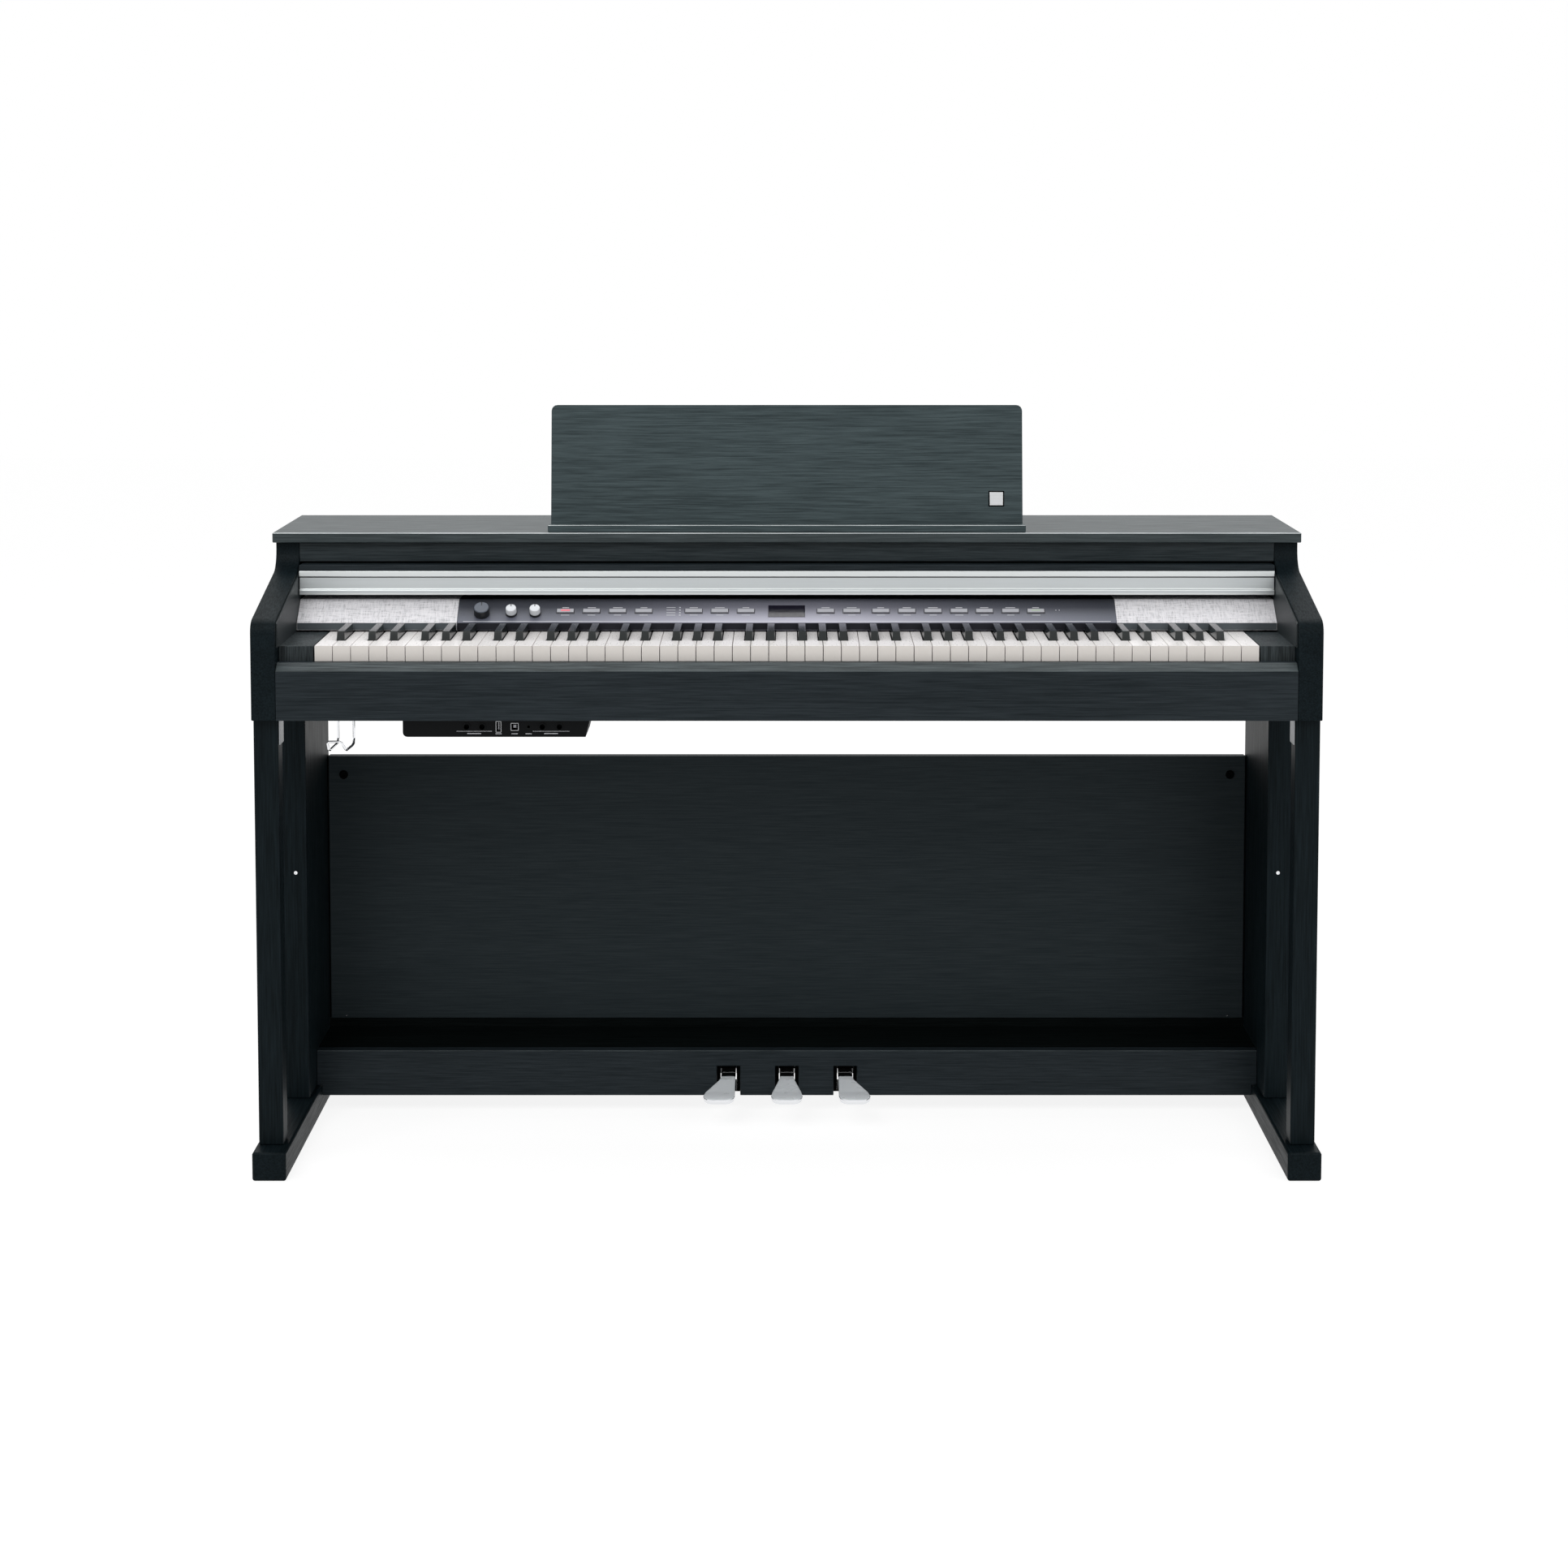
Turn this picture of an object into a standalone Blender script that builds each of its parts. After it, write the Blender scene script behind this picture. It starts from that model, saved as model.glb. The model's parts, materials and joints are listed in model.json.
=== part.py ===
"""Digital piano on a two-sided stand, in metres, +Z up, front towards -Y, standing on z = 0."""

import math

import bmesh
import bpy
from mathutils import Matrix, Vector

# Fits
SEAT = 0.0003          # gap between two pieces that touch
SIDE_GAP = 0.0010      # running gap at each end of a sliding or turning piece

# Whole instrument
DEPTH = 0.470          # of the feet, which are the deepest piece
KEYS_Y = -0.190        # plane of the white keys' front faces
BODY_BOTTOM = 0.600    # underside of the key bed and the arms
LID_TOP = 0.823
LID_THICK = 0.0135
LID_HALF = 0.692
LID_FRONT = KEYS_Y + 0.171
LID_DEPTH = 0.250
BODY_REAR = KEYS_Y + 0.415

# Arms
ARM_OUTER = 0.689
ARM_THICK = 0.0315
ARM_FRONT = KEYS_Y - 0.028
ARM_FRONT_TOP = 0.731  # where the sloped top of an arm starts
ARM_FRONT_R = 0.018
ARM_SLOPE = math.radians(13.0)
ARM_NECK_Y = KEYS_Y + 0.184
ARM_NECK_R = 0.030
ARM_INNER = ARM_OUTER - ARM_THICK
CHEEK_THICK = 0.0017
CHEEK_MARGIN = 0.004   # how far a cheek stays under the arm's edge
CHEEK_INNER = ARM_INNER - SEAT - CHEEK_THICK

# Stand
FOOT_HEIGHT = 0.038
FOOT_OUTER = 0.693
FOOT_WIDTH = 0.044
POST_INNER = 0.657
POST_FRONT = KEYS_Y - 0.012
POST_DEPTH = 0.033
SIDE_BOARD_INNER = 0.656
SIDE_BOARD_FRONT = KEYS_Y + 0.203
BACK_BOARD_BOTTOM = 0.100
BACK_BOARD_TOP = 0.480
BACK_BOARD_THICK = 0.018
BACK_BOARD_FRONT = KEYS_Y + 0.396
BACK_BOARD_HALF = 0.654

# Keyboard
WHITE_COUNT = 52
WHITE_PITCH = 0.0235
KEY_GAP = 0.0010
KEY_TOP = 0.6935
KEY_THICK = 0.020
KEY_DIP = 0.010
SHARP_HEIGHT = 0.012
SHARP_WIDTH = 0.0112
SHARP_TOP_WIDTH = 0.0092
SHARP_FRONT = 0.050    # from the white keys' front
SHARP_SLANT = 0.004
SHARP_END = 0.131
SHARP_TAIL_STEP = 0.003
KEY_REAR = 0.256
PIVOT_BACK = 0.250     # from the white keys' front to the pivot
SHARP_AFTER = {"A": 0.0035, "C": -0.0025, "D": 0.0025, "F": -0.0035, "G": 0.0}
CARRIER_TOP = 0.666    # bars that join the keys of one note name
CARRIER_HEIGHT = 0.005
CARRIER_DEPTH = 0.0045
CARRIER_PITCH = 0.008
CARRIER_FIRST = 0.146
CARRIER_TOOTH = 0.006
BED_THICK = 0.018
CHASSIS_PLATE = 0.003
KEYBOARD_HALF = WHITE_COUNT * WHITE_PITCH / 2
BLOCK_GAP = 0.0015
KEY_BOTTOM = KEY_TOP - KEY_THICK
BED_TOP = BODY_BOTTOM + BED_THICK

# Slip in front of the keys
SLIP_TOP = 0.674
SLIP_THICK = 0.025
SLIP_CHAMFER_DEEP = 0.012
SLIP_CHAMFER_HIGH = 0.010

# Control panel and cloth panels share one profile
LIP_Y = KEYS_Y + 0.137
LIP_BOTTOM = KEY_TOP + 0.0022
LIP_HEIGHT = 0.010
PANEL_RUN = 0.035      # of the slope, front to back
PANEL_RISE = 0.0272
PANEL_THICK = 0.0025
PANEL_REAR = KEYS_Y + 0.262
PANEL_HALF = 0.441
PANEL_SLOPE = math.atan2(PANEL_RISE, PANEL_RUN)
PANEL_LENGTH = math.hypot(PANEL_RUN, PANEL_RISE)

# Controls, placed by their distance up the slope from the lip
BUTTON_X = (-0.297, -0.262, -0.227, -0.192, -0.125, -0.090, -0.055,
            0.052, 0.087, 0.126, 0.161, 0.196, 0.231, 0.265, 0.300, 0.334)
BUTTON_STRIPS = {"buttons_left": (0, 4), "buttons_middle": (4, 7), "buttons_right": (7, 16)}
BUTTON_WIDTH = 0.0225
BUTTON_DEEP = 0.0062
BUTTON_PROUD = 0.0022
BUTTON_TRAVEL = 0.0010
BUTTON_UP = 0.0214
BUTTON_WEB = 0.002
KNOBS = {"volume_knob": (-0.4087, 0.01065, 0.0130),
         "treble_knob": (-0.3692, 0.0077, 0.0120),
         "bass_knob": (-0.3374, 0.0077, 0.0120)}
KNOB_UP = 0.0168
KNOB_SHAFT_R = 0.003
KNOB_SHAFT_LONG = 0.009
FIT = 0.0003           # clearance of caps, shafts and the display in the panel
DISPLAY_X = -0.0003
DISPLAY_SIZE = (0.0488, 0.0217)
DISPLAY_UP = 0.0215
DISPLAY_PROUD = 0.0004

# Sliding key cover
COVER_THICK = 0.0075
COVER_TOP = 0.7805
COVER_GAP = 0.0025     # under the header
RAIL_FRONT = KEYS_Y + 0.158
RAIL_DEPTH = 0.014
RAIL_HEIGHT = 0.0322
RAIL_LIP = 0.0025      # how far the rail's edge strips stand out
SHAFT_Y = KEYS_Y + 0.392
SHAFT_R = 0.004
ROLLER_R = 0.0055
ROLLER_REACH = 0.0062  # into the groove of each arm
GROOVE_FRONT = KEYS_Y + 0.190
HEADER_THICK = 0.018
HEADER_FRONT = KEYS_Y + 0.183

# Music rest
REST_HALF = 0.3185
REST_THICK = 0.010
REST_LENGTH = 0.1667
REST_LEAN = math.radians(8.0)
REST_CORNER = 0.008
REST_FOOT = 0.0032     # gap between its lower edge and the lid
LEDGE_HALF = 0.3215
LEDGE_HEIGHT = 0.0102
LEDGE_DEPTH = 0.017
LEDGE_SETBACK = 0.002

# Pedals
PEDAL_X = {"soft_pedal": -0.0815, "sostenuto_pedal": 0.0, "damper_pedal": 0.0815}
PEDAL_FLARE = {"soft_pedal": (-0.033, 0.010), "sostenuto_pedal": (-0.0215, 0.0215),
               "damper_pedal": (-0.010, 0.033)}
PEDAL_STEM = 0.020
PEDAL_THICK = 0.007
PEDAL_TOP = 0.0545
PEDAL_TIP_TOP = 0.0450
PEDAL_TIP_Y = KEYS_Y + 0.172
PEDAL_PIVOT_Y = KEYS_Y + 0.335
PEDAL_BOARD_FRONT = KEYS_Y + 0.267
PEDAL_BOARD_THICK = 0.018
PEDAL_BOARD_BOTTOM = 0.024
PEDAL_BOX_TOP = 0.0877
PEDAL_BOX_THICK = 0.016
SLOT_WIDTH = 0.0327
SLOT_TOP = 0.0657
EAR_THICK = 0.003
FRAME_PLATE = 0.003
FRAME_DEPTH = 0.050

# Jack box and headphone hook under the key bed
JACK_LEFT, JACK_RIGHT = -0.500, -0.255
JACK_HEIGHT = 0.0285
JACK_DEPTH = 0.090
JACK_FRONT = KEYS_Y + 0.020
JACK_SLANT = 0.007
JACK_CORNER = 0.006
JACK_Z = 0.5845
SOCKET_DEEP = 0.016
SOCKETS = {"phones_1": (-0.4170, 0.0066, 0.0066), "phones_2": (-0.3968, 0.0066, 0.0066),
           "usb_host": (-0.3753, 0.0055, 0.0130), "usb_computer": (-0.3543, 0.0086, 0.0084),
           "pedal_in": (-0.3183, 0.0066, 0.0066), "line_out": (-0.2961, 0.0066, 0.0066)}
ROUND_SOCKETS = ("phones_1", "phones_2", "pedal_in", "line_out")
AUX_X, AUX_R = -0.3362, 0.0018
HOOK_X = (-0.5855, -0.5650)
HOOK_Y = KEYS_Y + 0.030
HOOK_WIRE_R = 0.0016
HOOK_DROP = 0.040
HOOK_REACH = 0.040
HOOK_RISE = 0.010

# Works inside the body
SPEAKER_X = 0.420
SPEAKER_Y = KEYS_Y + 0.334
SPEAKER_R = 0.062
SPEAKER_HEIGHT = 0.052
SPEAKER_MOUTH_R = 0.052
BOARD_SIZE = (0.300, 0.100, 0.0016)
BOARD_STAND = 0.010
INLET_X = 0.480
INLET_Z = 0.660
INLET_SIZE = (0.030, 0.024)
INLET_DEEP = 0.022
INLET_MOUTH = (0.024, 0.017)
INLET_FLANGE = 0.004

WOOD = (0.018, 0.023, 0.025)
PLASTIC = (0.02, 0.022, 0.026)
STEEL = (0.55, 0.56, 0.58)


def clear_scene():
    for obj in list(bpy.data.objects):
        bpy.data.objects.remove(obj, do_unlink=True)


def material(name, color, roughness=0.5, metallic=0.0):
    made = bpy.data.materials.new(name)
    made.use_nodes = True
    shader = made.node_tree.nodes["Principled BSDF"]
    shader.inputs["Base Color"].default_value = (*color, 1.0)
    shader.inputs["Roughness"].default_value = roughness
    shader.inputs["Metallic"].default_value = metallic
    made.diffuse_color = (*color, 1.0)
    return made


def add_object(name, bm, color=WOOD, roughness=0.5, metallic=0.0):
    """The bmesh as a named object with its own material."""
    bmesh.ops.recalc_face_normals(bm, faces=bm.faces)
    mesh = bpy.data.meshes.new(name)
    bm.to_mesh(mesh)
    bm.free()
    obj = bpy.data.objects.new(name, mesh)
    bpy.context.scene.collection.objects.link(obj)
    mesh.materials.append(material(name, color, roughness, metallic))
    return obj


def smooth(obj, angle=35.0):
    obj.data.shade_smooth()
    obj.data.set_sharp_from_angle(angle=math.radians(angle))


def bevel(obj, width, segments=1):
    made = obj.modifiers.new("bevel", "BEVEL")
    made.width = width
    made.segments = segments
    made.limit_method = "ANGLE"
    made.angle_limit = math.radians(40.0)


def helper(obj):
    obj.hide_render = True
    obj.display_type = "WIRE"
    return obj


def boolean(obj, other, operation):
    made = obj.modifiers.new(operation.lower(), "BOOLEAN")
    made.operation = operation
    made.object = helper(other)


def set_origin(obj, point):
    """Moves the object's origin to a world point and leaves its shape where it is."""
    obj.data.transform(Matrix.Translation(-Vector(point)))
    obj.location = point


def add_prism(bm, points, direction):
    """A closed prism: the 3-D outline in points, extruded by direction."""
    near = [bm.verts.new(point) for point in points]
    far = [bm.verts.new(Vector(point) + Vector(direction)) for point in points]
    bm.faces.new(near)
    bm.faces.new(far[::-1])
    for i in range(len(points)):
        j = (i + 1) % len(points)
        bm.faces.new((near[j], near[i], far[i], far[j]))


def add_box(bm, low, high):
    x0, y0, z0 = low
    x1, y1, z1 = high
    add_prism(bm, [(x0, y0, z0), (x1, y0, z0), (x1, y1, z0), (x0, y1, z0)], (0, 0, z1 - z0))


def add_cylinder(bm, centre, axis, radius, length, segments=24):
    """A cylinder that starts at centre and runs along axis."""
    turn = Vector((0, 0, 1)).rotation_difference(Vector(axis)).to_matrix().to_4x4()
    middle = Vector(centre) + Vector(axis).normalized() * length / 2
    bmesh.ops.create_cone(bm, cap_ends=True, segments=segments, radius1=radius, radius2=radius,
                          depth=length, matrix=Matrix.Translation(middle) @ turn)


def box(name, low, high, color=WOOD, roughness=0.5, metallic=0.0):
    bm = bmesh.new()
    add_box(bm, low, high)
    return add_object(name, bm, color, roughness, metallic)


def along_x(name, outline, x0, x1, color=WOOD, roughness=0.5, metallic=0.0):
    """A (y, z) outline extruded from x0 to x1."""
    bm = bmesh.new()
    add_prism(bm, [(x0, y, z) for y, z in outline], (x1 - x0, 0, 0))
    return add_object(name, bm, color, roughness, metallic)


def along_y(name, outline, y0, y1, color=WOOD, roughness=0.5, metallic=0.0):
    """An (x, z) outline extruded from y0 to y1."""
    bm = bmesh.new()
    add_prism(bm, [(x, y0, z) for x, z in outline], (0, y1 - y0, 0))
    return add_object(name, bm, color, roughness, metallic)


def arc(centre, radius, start, end, steps):
    """Points on an arc, with angles in degrees from the first axis."""
    angles = [math.radians(start + (end - start) * i / steps) for i in range(steps + 1)]
    return [(centre[0] + radius * math.cos(a), centre[1] + radius * math.sin(a)) for a in angles]


def comb_outline(centres, tooth_width, web, tip, margin):
    """A bar between the two heights in web, with a tooth up (or down) to tip at each centre."""
    base, root = web
    half = tooth_width / 2
    first, last = centres[0] - half - margin, centres[-1] + half + margin
    points = [(first, base), (last, base), (last, root)]
    for centre in reversed(centres):
        points += [(centre + half, root), (centre + half, tip),
                   (centre - half, tip), (centre - half, root)]
    return points + [(first, root)]


def both_sides(make):
    """Calls make for the left and the right side, with the sign of that side's X."""
    for side, sign in (("left", -1), ("right", 1)):
        make(side, sign)


def on_slope(x, up, height):
    """A point above the panel's sloped face, up the slope from the lip's top edge."""
    c, s = math.cos(PANEL_SLOPE), math.sin(PANEL_SLOPE)
    return Vector((x, LIP_Y + up * c - height * s, LIP_BOTTOM + LIP_HEIGHT + up * s + height * c))


SLOPE_TURN = Matrix.Rotation(PANEL_SLOPE, 4, "X")
SLOPE_NORMAL = SLOPE_TURN @ Vector((0, 0, 1))


def slope_object(obj, x, up, height):
    """Places an object modelled flat, with local Z as the slope's normal."""
    obj.matrix_world = Matrix.Translation(on_slope(x, up, height)) @ SLOPE_TURN
    return obj


def arm_top():
    """The arm's top edge from the front corner to the lid, as (y, z)."""
    slope = math.degrees(ARM_SLOPE)
    corner = (ARM_FRONT + ARM_FRONT_R, ARM_FRONT_TOP - ARM_FRONT_R)
    front = arc(corner, ARM_FRONT_R, 180, 90 + slope, 5)
    centre_y = ARM_NECK_Y - ARM_NECK_R
    run = centre_y + ARM_NECK_R * math.sin(ARM_SLOPE) - front[-1][0]
    low_z = front[-1][1] + run * math.tan(ARM_SLOPE)
    centre = (centre_y, low_z + ARM_NECK_R * math.cos(ARM_SLOPE))
    return front + arc(centre, ARM_NECK_R, -90 + slope, 0, 6)


def make_arm(side, sign):
    top = LID_TOP - LID_THICK - SEAT
    outline = [(ARM_FRONT, BODY_BOTTOM)] + arm_top()
    outline += [(ARM_NECK_Y, top), (BODY_REAR, top), (BODY_REAR, BODY_BOTTOM)]
    arm = along_x(f"{side}_arm", outline, sign * ARM_INNER, sign * ARM_OUTER)
    centre_z = COVER_TOP - COVER_THICK / 2
    half = ROLLER_R + SEAT
    deep = ROLLER_REACH + SIDE_GAP
    groove = box(f"{side}_groove_cutter",
                 (sign * (ARM_INNER - 0.01), GROOVE_FRONT, centre_z - half),
                 (sign * (ARM_INNER + deep), SHAFT_Y + ROLLER_R + SIDE_GAP, centre_z + half))
    boolean(arm, groove, "DIFFERENCE")


def make_cheek(side, sign):
    """Thin liner on the arm's inner face, which the cover's rail runs along."""
    top = [(y, z - CHEEK_MARGIN) for y, z in arm_top() if z > ARM_FRONT_TOP - CHEEK_MARGIN]
    top = [(y, z) for y, z in top if y < ARM_NECK_Y - CHEEK_MARGIN]
    bottom = KEY_TOP + SEAT
    outline = [(top[0][0], bottom)] + top + [(top[-1][0], bottom)]
    inner, outer = sign * CHEEK_INNER, sign * (ARM_INNER - SEAT)
    along_x(f"{side}_cheek", outline, inner, outer, PLASTIC, 0.45)


def make_key_block(side, sign):
    box(f"{side}_key_block",
        (sign * (KEYBOARD_HALF + BLOCK_GAP), KEYS_Y, BED_TOP + SEAT),
        (sign * (ARM_INNER - SEAT), LIP_Y - SIDE_GAP, KEY_TOP))


def make_case():
    both_sides(make_arm)
    both_sides(make_cheek)
    both_sides(make_key_block)
    lid = box("top_lid", (-LID_HALF, LID_FRONT, LID_TOP - LID_THICK),
              (LID_HALF, LID_FRONT + LID_DEPTH, LID_TOP))
    bevel(lid, 0.001)
    inner = ARM_INNER - SEAT
    box("header_board", (-inner, HEADER_FRONT, COVER_TOP + COVER_GAP),
        (inner, HEADER_FRONT + HEADER_THICK, LID_TOP - LID_THICK - SEAT))
    rear = box("body_back", (-inner, BODY_REAR - 0.012, BED_TOP + SEAT),
               (inner, BODY_REAR, LID_TOP - LID_THICK - SEAT))
    wide, high = INLET_SIZE[0] / 2 + FIT, INLET_SIZE[1] / 2 + FIT
    boolean(rear, box("inlet_cutter", (INLET_X - wide, BODY_REAR - 0.05, INLET_Z - high),
                      (INLET_X + wide, BODY_REAR + 0.05, INLET_Z + high)), "DIFFERENCE")
    slip_front, slip_rear = ARM_FRONT, ARM_FRONT + SLIP_THICK
    along_x("key_slip", [(slip_front, BODY_BOTTOM), (slip_rear, BODY_BOTTOM),
                         (slip_rear, SLIP_TOP), (slip_front + SLIP_CHAMFER_DEEP, SLIP_TOP),
                         (slip_front, SLIP_TOP - SLIP_CHAMFER_HIGH)], -inner, inner)
    bed = box("key_bed", (-inner, slip_rear + SEAT, BODY_BOTTOM), (inner, BODY_REAR, BED_TOP))
    holes = bmesh.new()
    for x in (-SPEAKER_X, SPEAKER_X):
        add_cylinder(holes, (x, SPEAKER_Y, BODY_BOTTOM - 0.01), (0, 0, 1), SPEAKER_MOUTH_R, 0.05, 32)
    boolean(bed, add_object("speaker_cutter", holes), "DIFFERENCE")


def make_chassis():
    """Steel tray with a front stop rail and the rear rail that the keys pivot on."""
    base, plate = BED_TOP + SEAT, BED_TOP + SEAT + CHASSIS_PLATE
    front, rear = KEYS_Y + 0.004, KEYS_Y + KEY_REAR + 0.002
    pivot, half = KEYS_Y + PIVOT_BACK, 0.003
    stop = KEY_BOTTOM - KEY_DIP - SIDE_GAP
    outline = [(front, base), (rear, base), (rear, plate), (pivot + half, plate),
               (pivot + half, KEY_BOTTOM - SEAT), (pivot - half, KEY_BOTTOM - SEAT),
               (pivot - half, plate), (front + 0.014, plate), (front + 0.014, stop),
               (front, stop)]
    along_x("key_chassis", outline, -KEYBOARD_HALF, KEYBOARD_HALF, STEEL, 0.5, 0.8)


def white_outline(left, sharps_near):
    """Plan outline of a white key, narrowed behind the front for the sharps beside it."""
    x0, x1 = left + KEY_GAP / 2, left + WHITE_PITCH - KEY_GAP / 2
    clear = SHARP_WIDTH / 2 + KEY_GAP
    tail0 = max([x0] + [s + clear for s in sharps_near if s < (x0 + x1) / 2])
    tail1 = min([x1] + [s - clear for s in sharps_near if s > (x0 + x1) / 2])
    front, step, rear = KEYS_Y, KEYS_Y + SHARP_FRONT - KEY_GAP, KEYS_Y + KEY_REAR
    points = [(x0, front), (x1, front)]
    points += [(x1, step), (tail1, step)] if tail1 < x1 else []
    points += [(tail1, rear), (tail0, rear)]
    points += [(tail0, step), (x0, step)] if tail0 > x0 else []
    return points


def add_sharp(bm, x):
    front, end, rear = (KEYS_Y + d for d in (SHARP_FRONT, SHARP_END, KEY_REAR))
    low, top, tail = KEY_BOTTOM, KEY_TOP + SHARP_HEIGHT, KEY_TOP - SHARP_TAIL_STEP
    side = [(front, low), (rear, low), (rear, tail), (end, tail), (end, top),
            (front + SHARP_SLANT, top), (front, tail)]
    add_prism(bm, [(x - SHARP_WIDTH / 2, y, z) for y, z in side], (SHARP_WIDTH, 0, 0))
    shrink = SHARP_TOP_WIDTH / SHARP_WIDTH
    for vert in bm.verts:
        if abs(vert.co.x - x) <= SHARP_WIDTH / 2 + 1e-6 and vert.co.z > KEY_TOP:
            vert.co.x = x + (vert.co.x - x) * shrink


def keyboard_layout():
    """The left edge of each white key and the centre of each sharp, by note name."""
    whites, sharps = {}, {}
    for i in range(WHITE_COUNT):
        letter = "ABCDEFG"[i % 7]
        left = -KEYBOARD_HALF + i * WHITE_PITCH
        whites.setdefault(letter, []).append(left)
        if letter in SHARP_AFTER and i < WHITE_COUNT - 1:
            sharps.setdefault(letter, []).append(left + WHITE_PITCH + SHARP_AFTER[letter])
    return whites, sharps


def make_keys():
    """The keys of one note name share a hidden carrier bar and turn about the rear rail."""
    whites, sharps = keyboard_layout()
    every_sharp = [x for group in sharps.values() for x in group]
    groups = [(f"{letter.lower()}_keys", letter, False) for letter in sorted(whites)]
    groups += [(f"{letter.lower()}_sharp_keys", letter, True) for letter in sorted(sharps)]
    for row, (name, letter, is_sharp) in enumerate(groups):
        bm = bmesh.new()
        centres = []
        for place in (sharps if is_sharp else whites)[letter]:
            if is_sharp:
                add_sharp(bm, place)
                centres.append(place)
                continue
            near = [s for s in every_sharp if place - 0.01 < s < place + WHITE_PITCH + 0.01]
            outline = white_outline(place, near)
            add_prism(bm, [(x, y, KEY_BOTTOM) for x, y in outline], (0, 0, KEY_THICK))
            centres.append((outline[-1][0] + outline[-2][0]) / 2 if len(outline) == 4 else
                           sum(x for x, y in outline if y == KEYS_Y + KEY_REAR) / 2)
        keys = add_object(f"{name}_tops", bm)
        color = (0.02, 0.02, 0.022) if is_sharp else (0.85, 0.84, 0.82)
        bar_y = KEYS_Y + CARRIER_FIRST + row * CARRIER_PITCH
        web = (CARRIER_TOP - CARRIER_HEIGHT, CARRIER_TOP)
        comb = comb_outline(centres, CARRIER_TOOTH, web, KEY_BOTTOM + 0.002, 0.002)
        obj = along_y(name, comb, bar_y, bar_y + CARRIER_DEPTH, color, 0.25)
        boolean(obj, keys, "UNION")
        pivot = Vector((0, KEYS_Y + PIVOT_BACK, KEY_BOTTOM))
        set_origin(obj, pivot)
        set_origin(keys, pivot)


def panel_outline():
    """Lip, slope, flat top and rear flange of the sheet that covers the keys' rear ends."""
    top = LIP_BOTTOM + LIP_HEIGHT + PANEL_RISE
    crest = LIP_Y + PANEL_RUN
    t = PANEL_THICK
    bend = t * math.tan(PANEL_SLOPE / 2)
    lip_bend = t * math.tan((math.pi / 2 - PANEL_SLOPE) / 2)
    foot = BED_TOP + SEAT
    return [(LIP_Y, LIP_BOTTOM), (LIP_Y, LIP_BOTTOM + LIP_HEIGHT), (crest, top),
            (PANEL_REAR + t, top), (PANEL_REAR + t, foot), (PANEL_REAR, foot),
            (PANEL_REAR, top - t), (crest + bend, top - t),
            (LIP_Y + t, LIP_BOTTOM + LIP_HEIGHT - lip_bend), (LIP_Y + t, LIP_BOTTOM)]


def make_panels():
    panel = along_x("control_panel", panel_outline(), -PANEL_HALF, PANEL_HALF, (0.10, 0.11, 0.14), 0.4)
    holes = bmesh.new()
    reach = 0.010
    for x in BUTTON_X:
        wide, deep = BUTTON_WIDTH / 2 + FIT, BUTTON_DEEP / 2 + FIT
        add_box(holes, (x - wide, BUTTON_UP - deep, -reach), (x + wide, BUTTON_UP + deep, reach))
    for x, _, _ in KNOBS.values():
        add_cylinder(holes, (x, KNOB_UP, -reach), (0, 0, 1), KNOB_SHAFT_R + FIT, 2 * reach, 16)
    wide, deep = DISPLAY_SIZE[0] / 2 + FIT, DISPLAY_SIZE[1] / 2 + FIT
    add_box(holes, (DISPLAY_X - wide, DISPLAY_UP - deep, -reach),
            (DISPLAY_X + wide, DISPLAY_UP + deep, reach))
    cutter = slope_object(add_object("panel_cutter", holes), 0, 0, 0)
    boolean(panel, cutter, "DIFFERENCE")
    wide, deep = DISPLAY_SIZE[0] / 2, DISPLAY_SIZE[1] / 2
    lens = box("display_lens", (-wide, -deep, -PANEL_THICK), (wide, deep, DISPLAY_PROUD),
               (0.01, 0.01, 0.02), 0.15)
    slope_object(lens, DISPLAY_X, DISPLAY_UP, 0)
    outer, inner = ARM_INNER - SEAT - CHEEK_THICK - SEAT * 2, PANEL_HALF + SEAT
    for side, sign in (("left", -1), ("right", 1)):
        along_x(f"{side}_grille", panel_outline(), sign * inner, sign * outer, (0.6, 0.59, 0.6), 0.9)


def make_buttons():
    """Caps of one strip share a web under the panel, as moulded button strips do."""
    web_top = -PANEL_THICK - BUTTON_TRAVEL
    for name, (first, last) in BUTTON_STRIPS.items():
        centres = [x for x in BUTTON_X[first:last]]
        comb = comb_outline(centres, BUTTON_WIDTH, (web_top - BUTTON_WEB, web_top), BUTTON_PROUD, 0.001)
        strip = along_y(name, comb, -BUTTON_DEEP / 2, BUTTON_DEEP / 2, (0.6, 0.61, 0.62), 0.4)
        slope_object(strip, 0, BUTTON_UP, 0)


def make_knobs():
    for name, (x, radius, height) in KNOBS.items():
        bm = bmesh.new()
        profile = [(0, -KNOB_SHAFT_LONG), (KNOB_SHAFT_R, -KNOB_SHAFT_LONG), (KNOB_SHAFT_R, SEAT),
                   (radius, SEAT), (radius, height - 0.0008), (radius - 0.0008, height), (0, height)]
        add_lathe(bm, profile, 24)
        knob = add_object(name, bm, (0.03, 0.03, 0.035), 0.35)
        smooth(knob)
        slope_object(knob, x, KNOB_UP, 0)


def add_lathe(bm, profile, segments):
    """Turns an (r, z) profile, which starts and ends on the axis, about Z."""
    rings = []
    for r, z in profile:
        if r == 0:
            rings.append([bm.verts.new((0, 0, z))])
            continue
        turns = [2 * math.pi * k / segments for k in range(segments)]
        rings.append([bm.verts.new((r * math.cos(a), r * math.sin(a), z)) for a in turns])
    for low, high in zip(rings, rings[1:]):
        for k in range(segments):
            n = (k + 1) % segments
            ring = [low[k % len(low)], low[n % len(low)], high[n % len(high)], high[k % len(high)]]
            bm.faces.new(list(dict.fromkeys(ring)))


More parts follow.
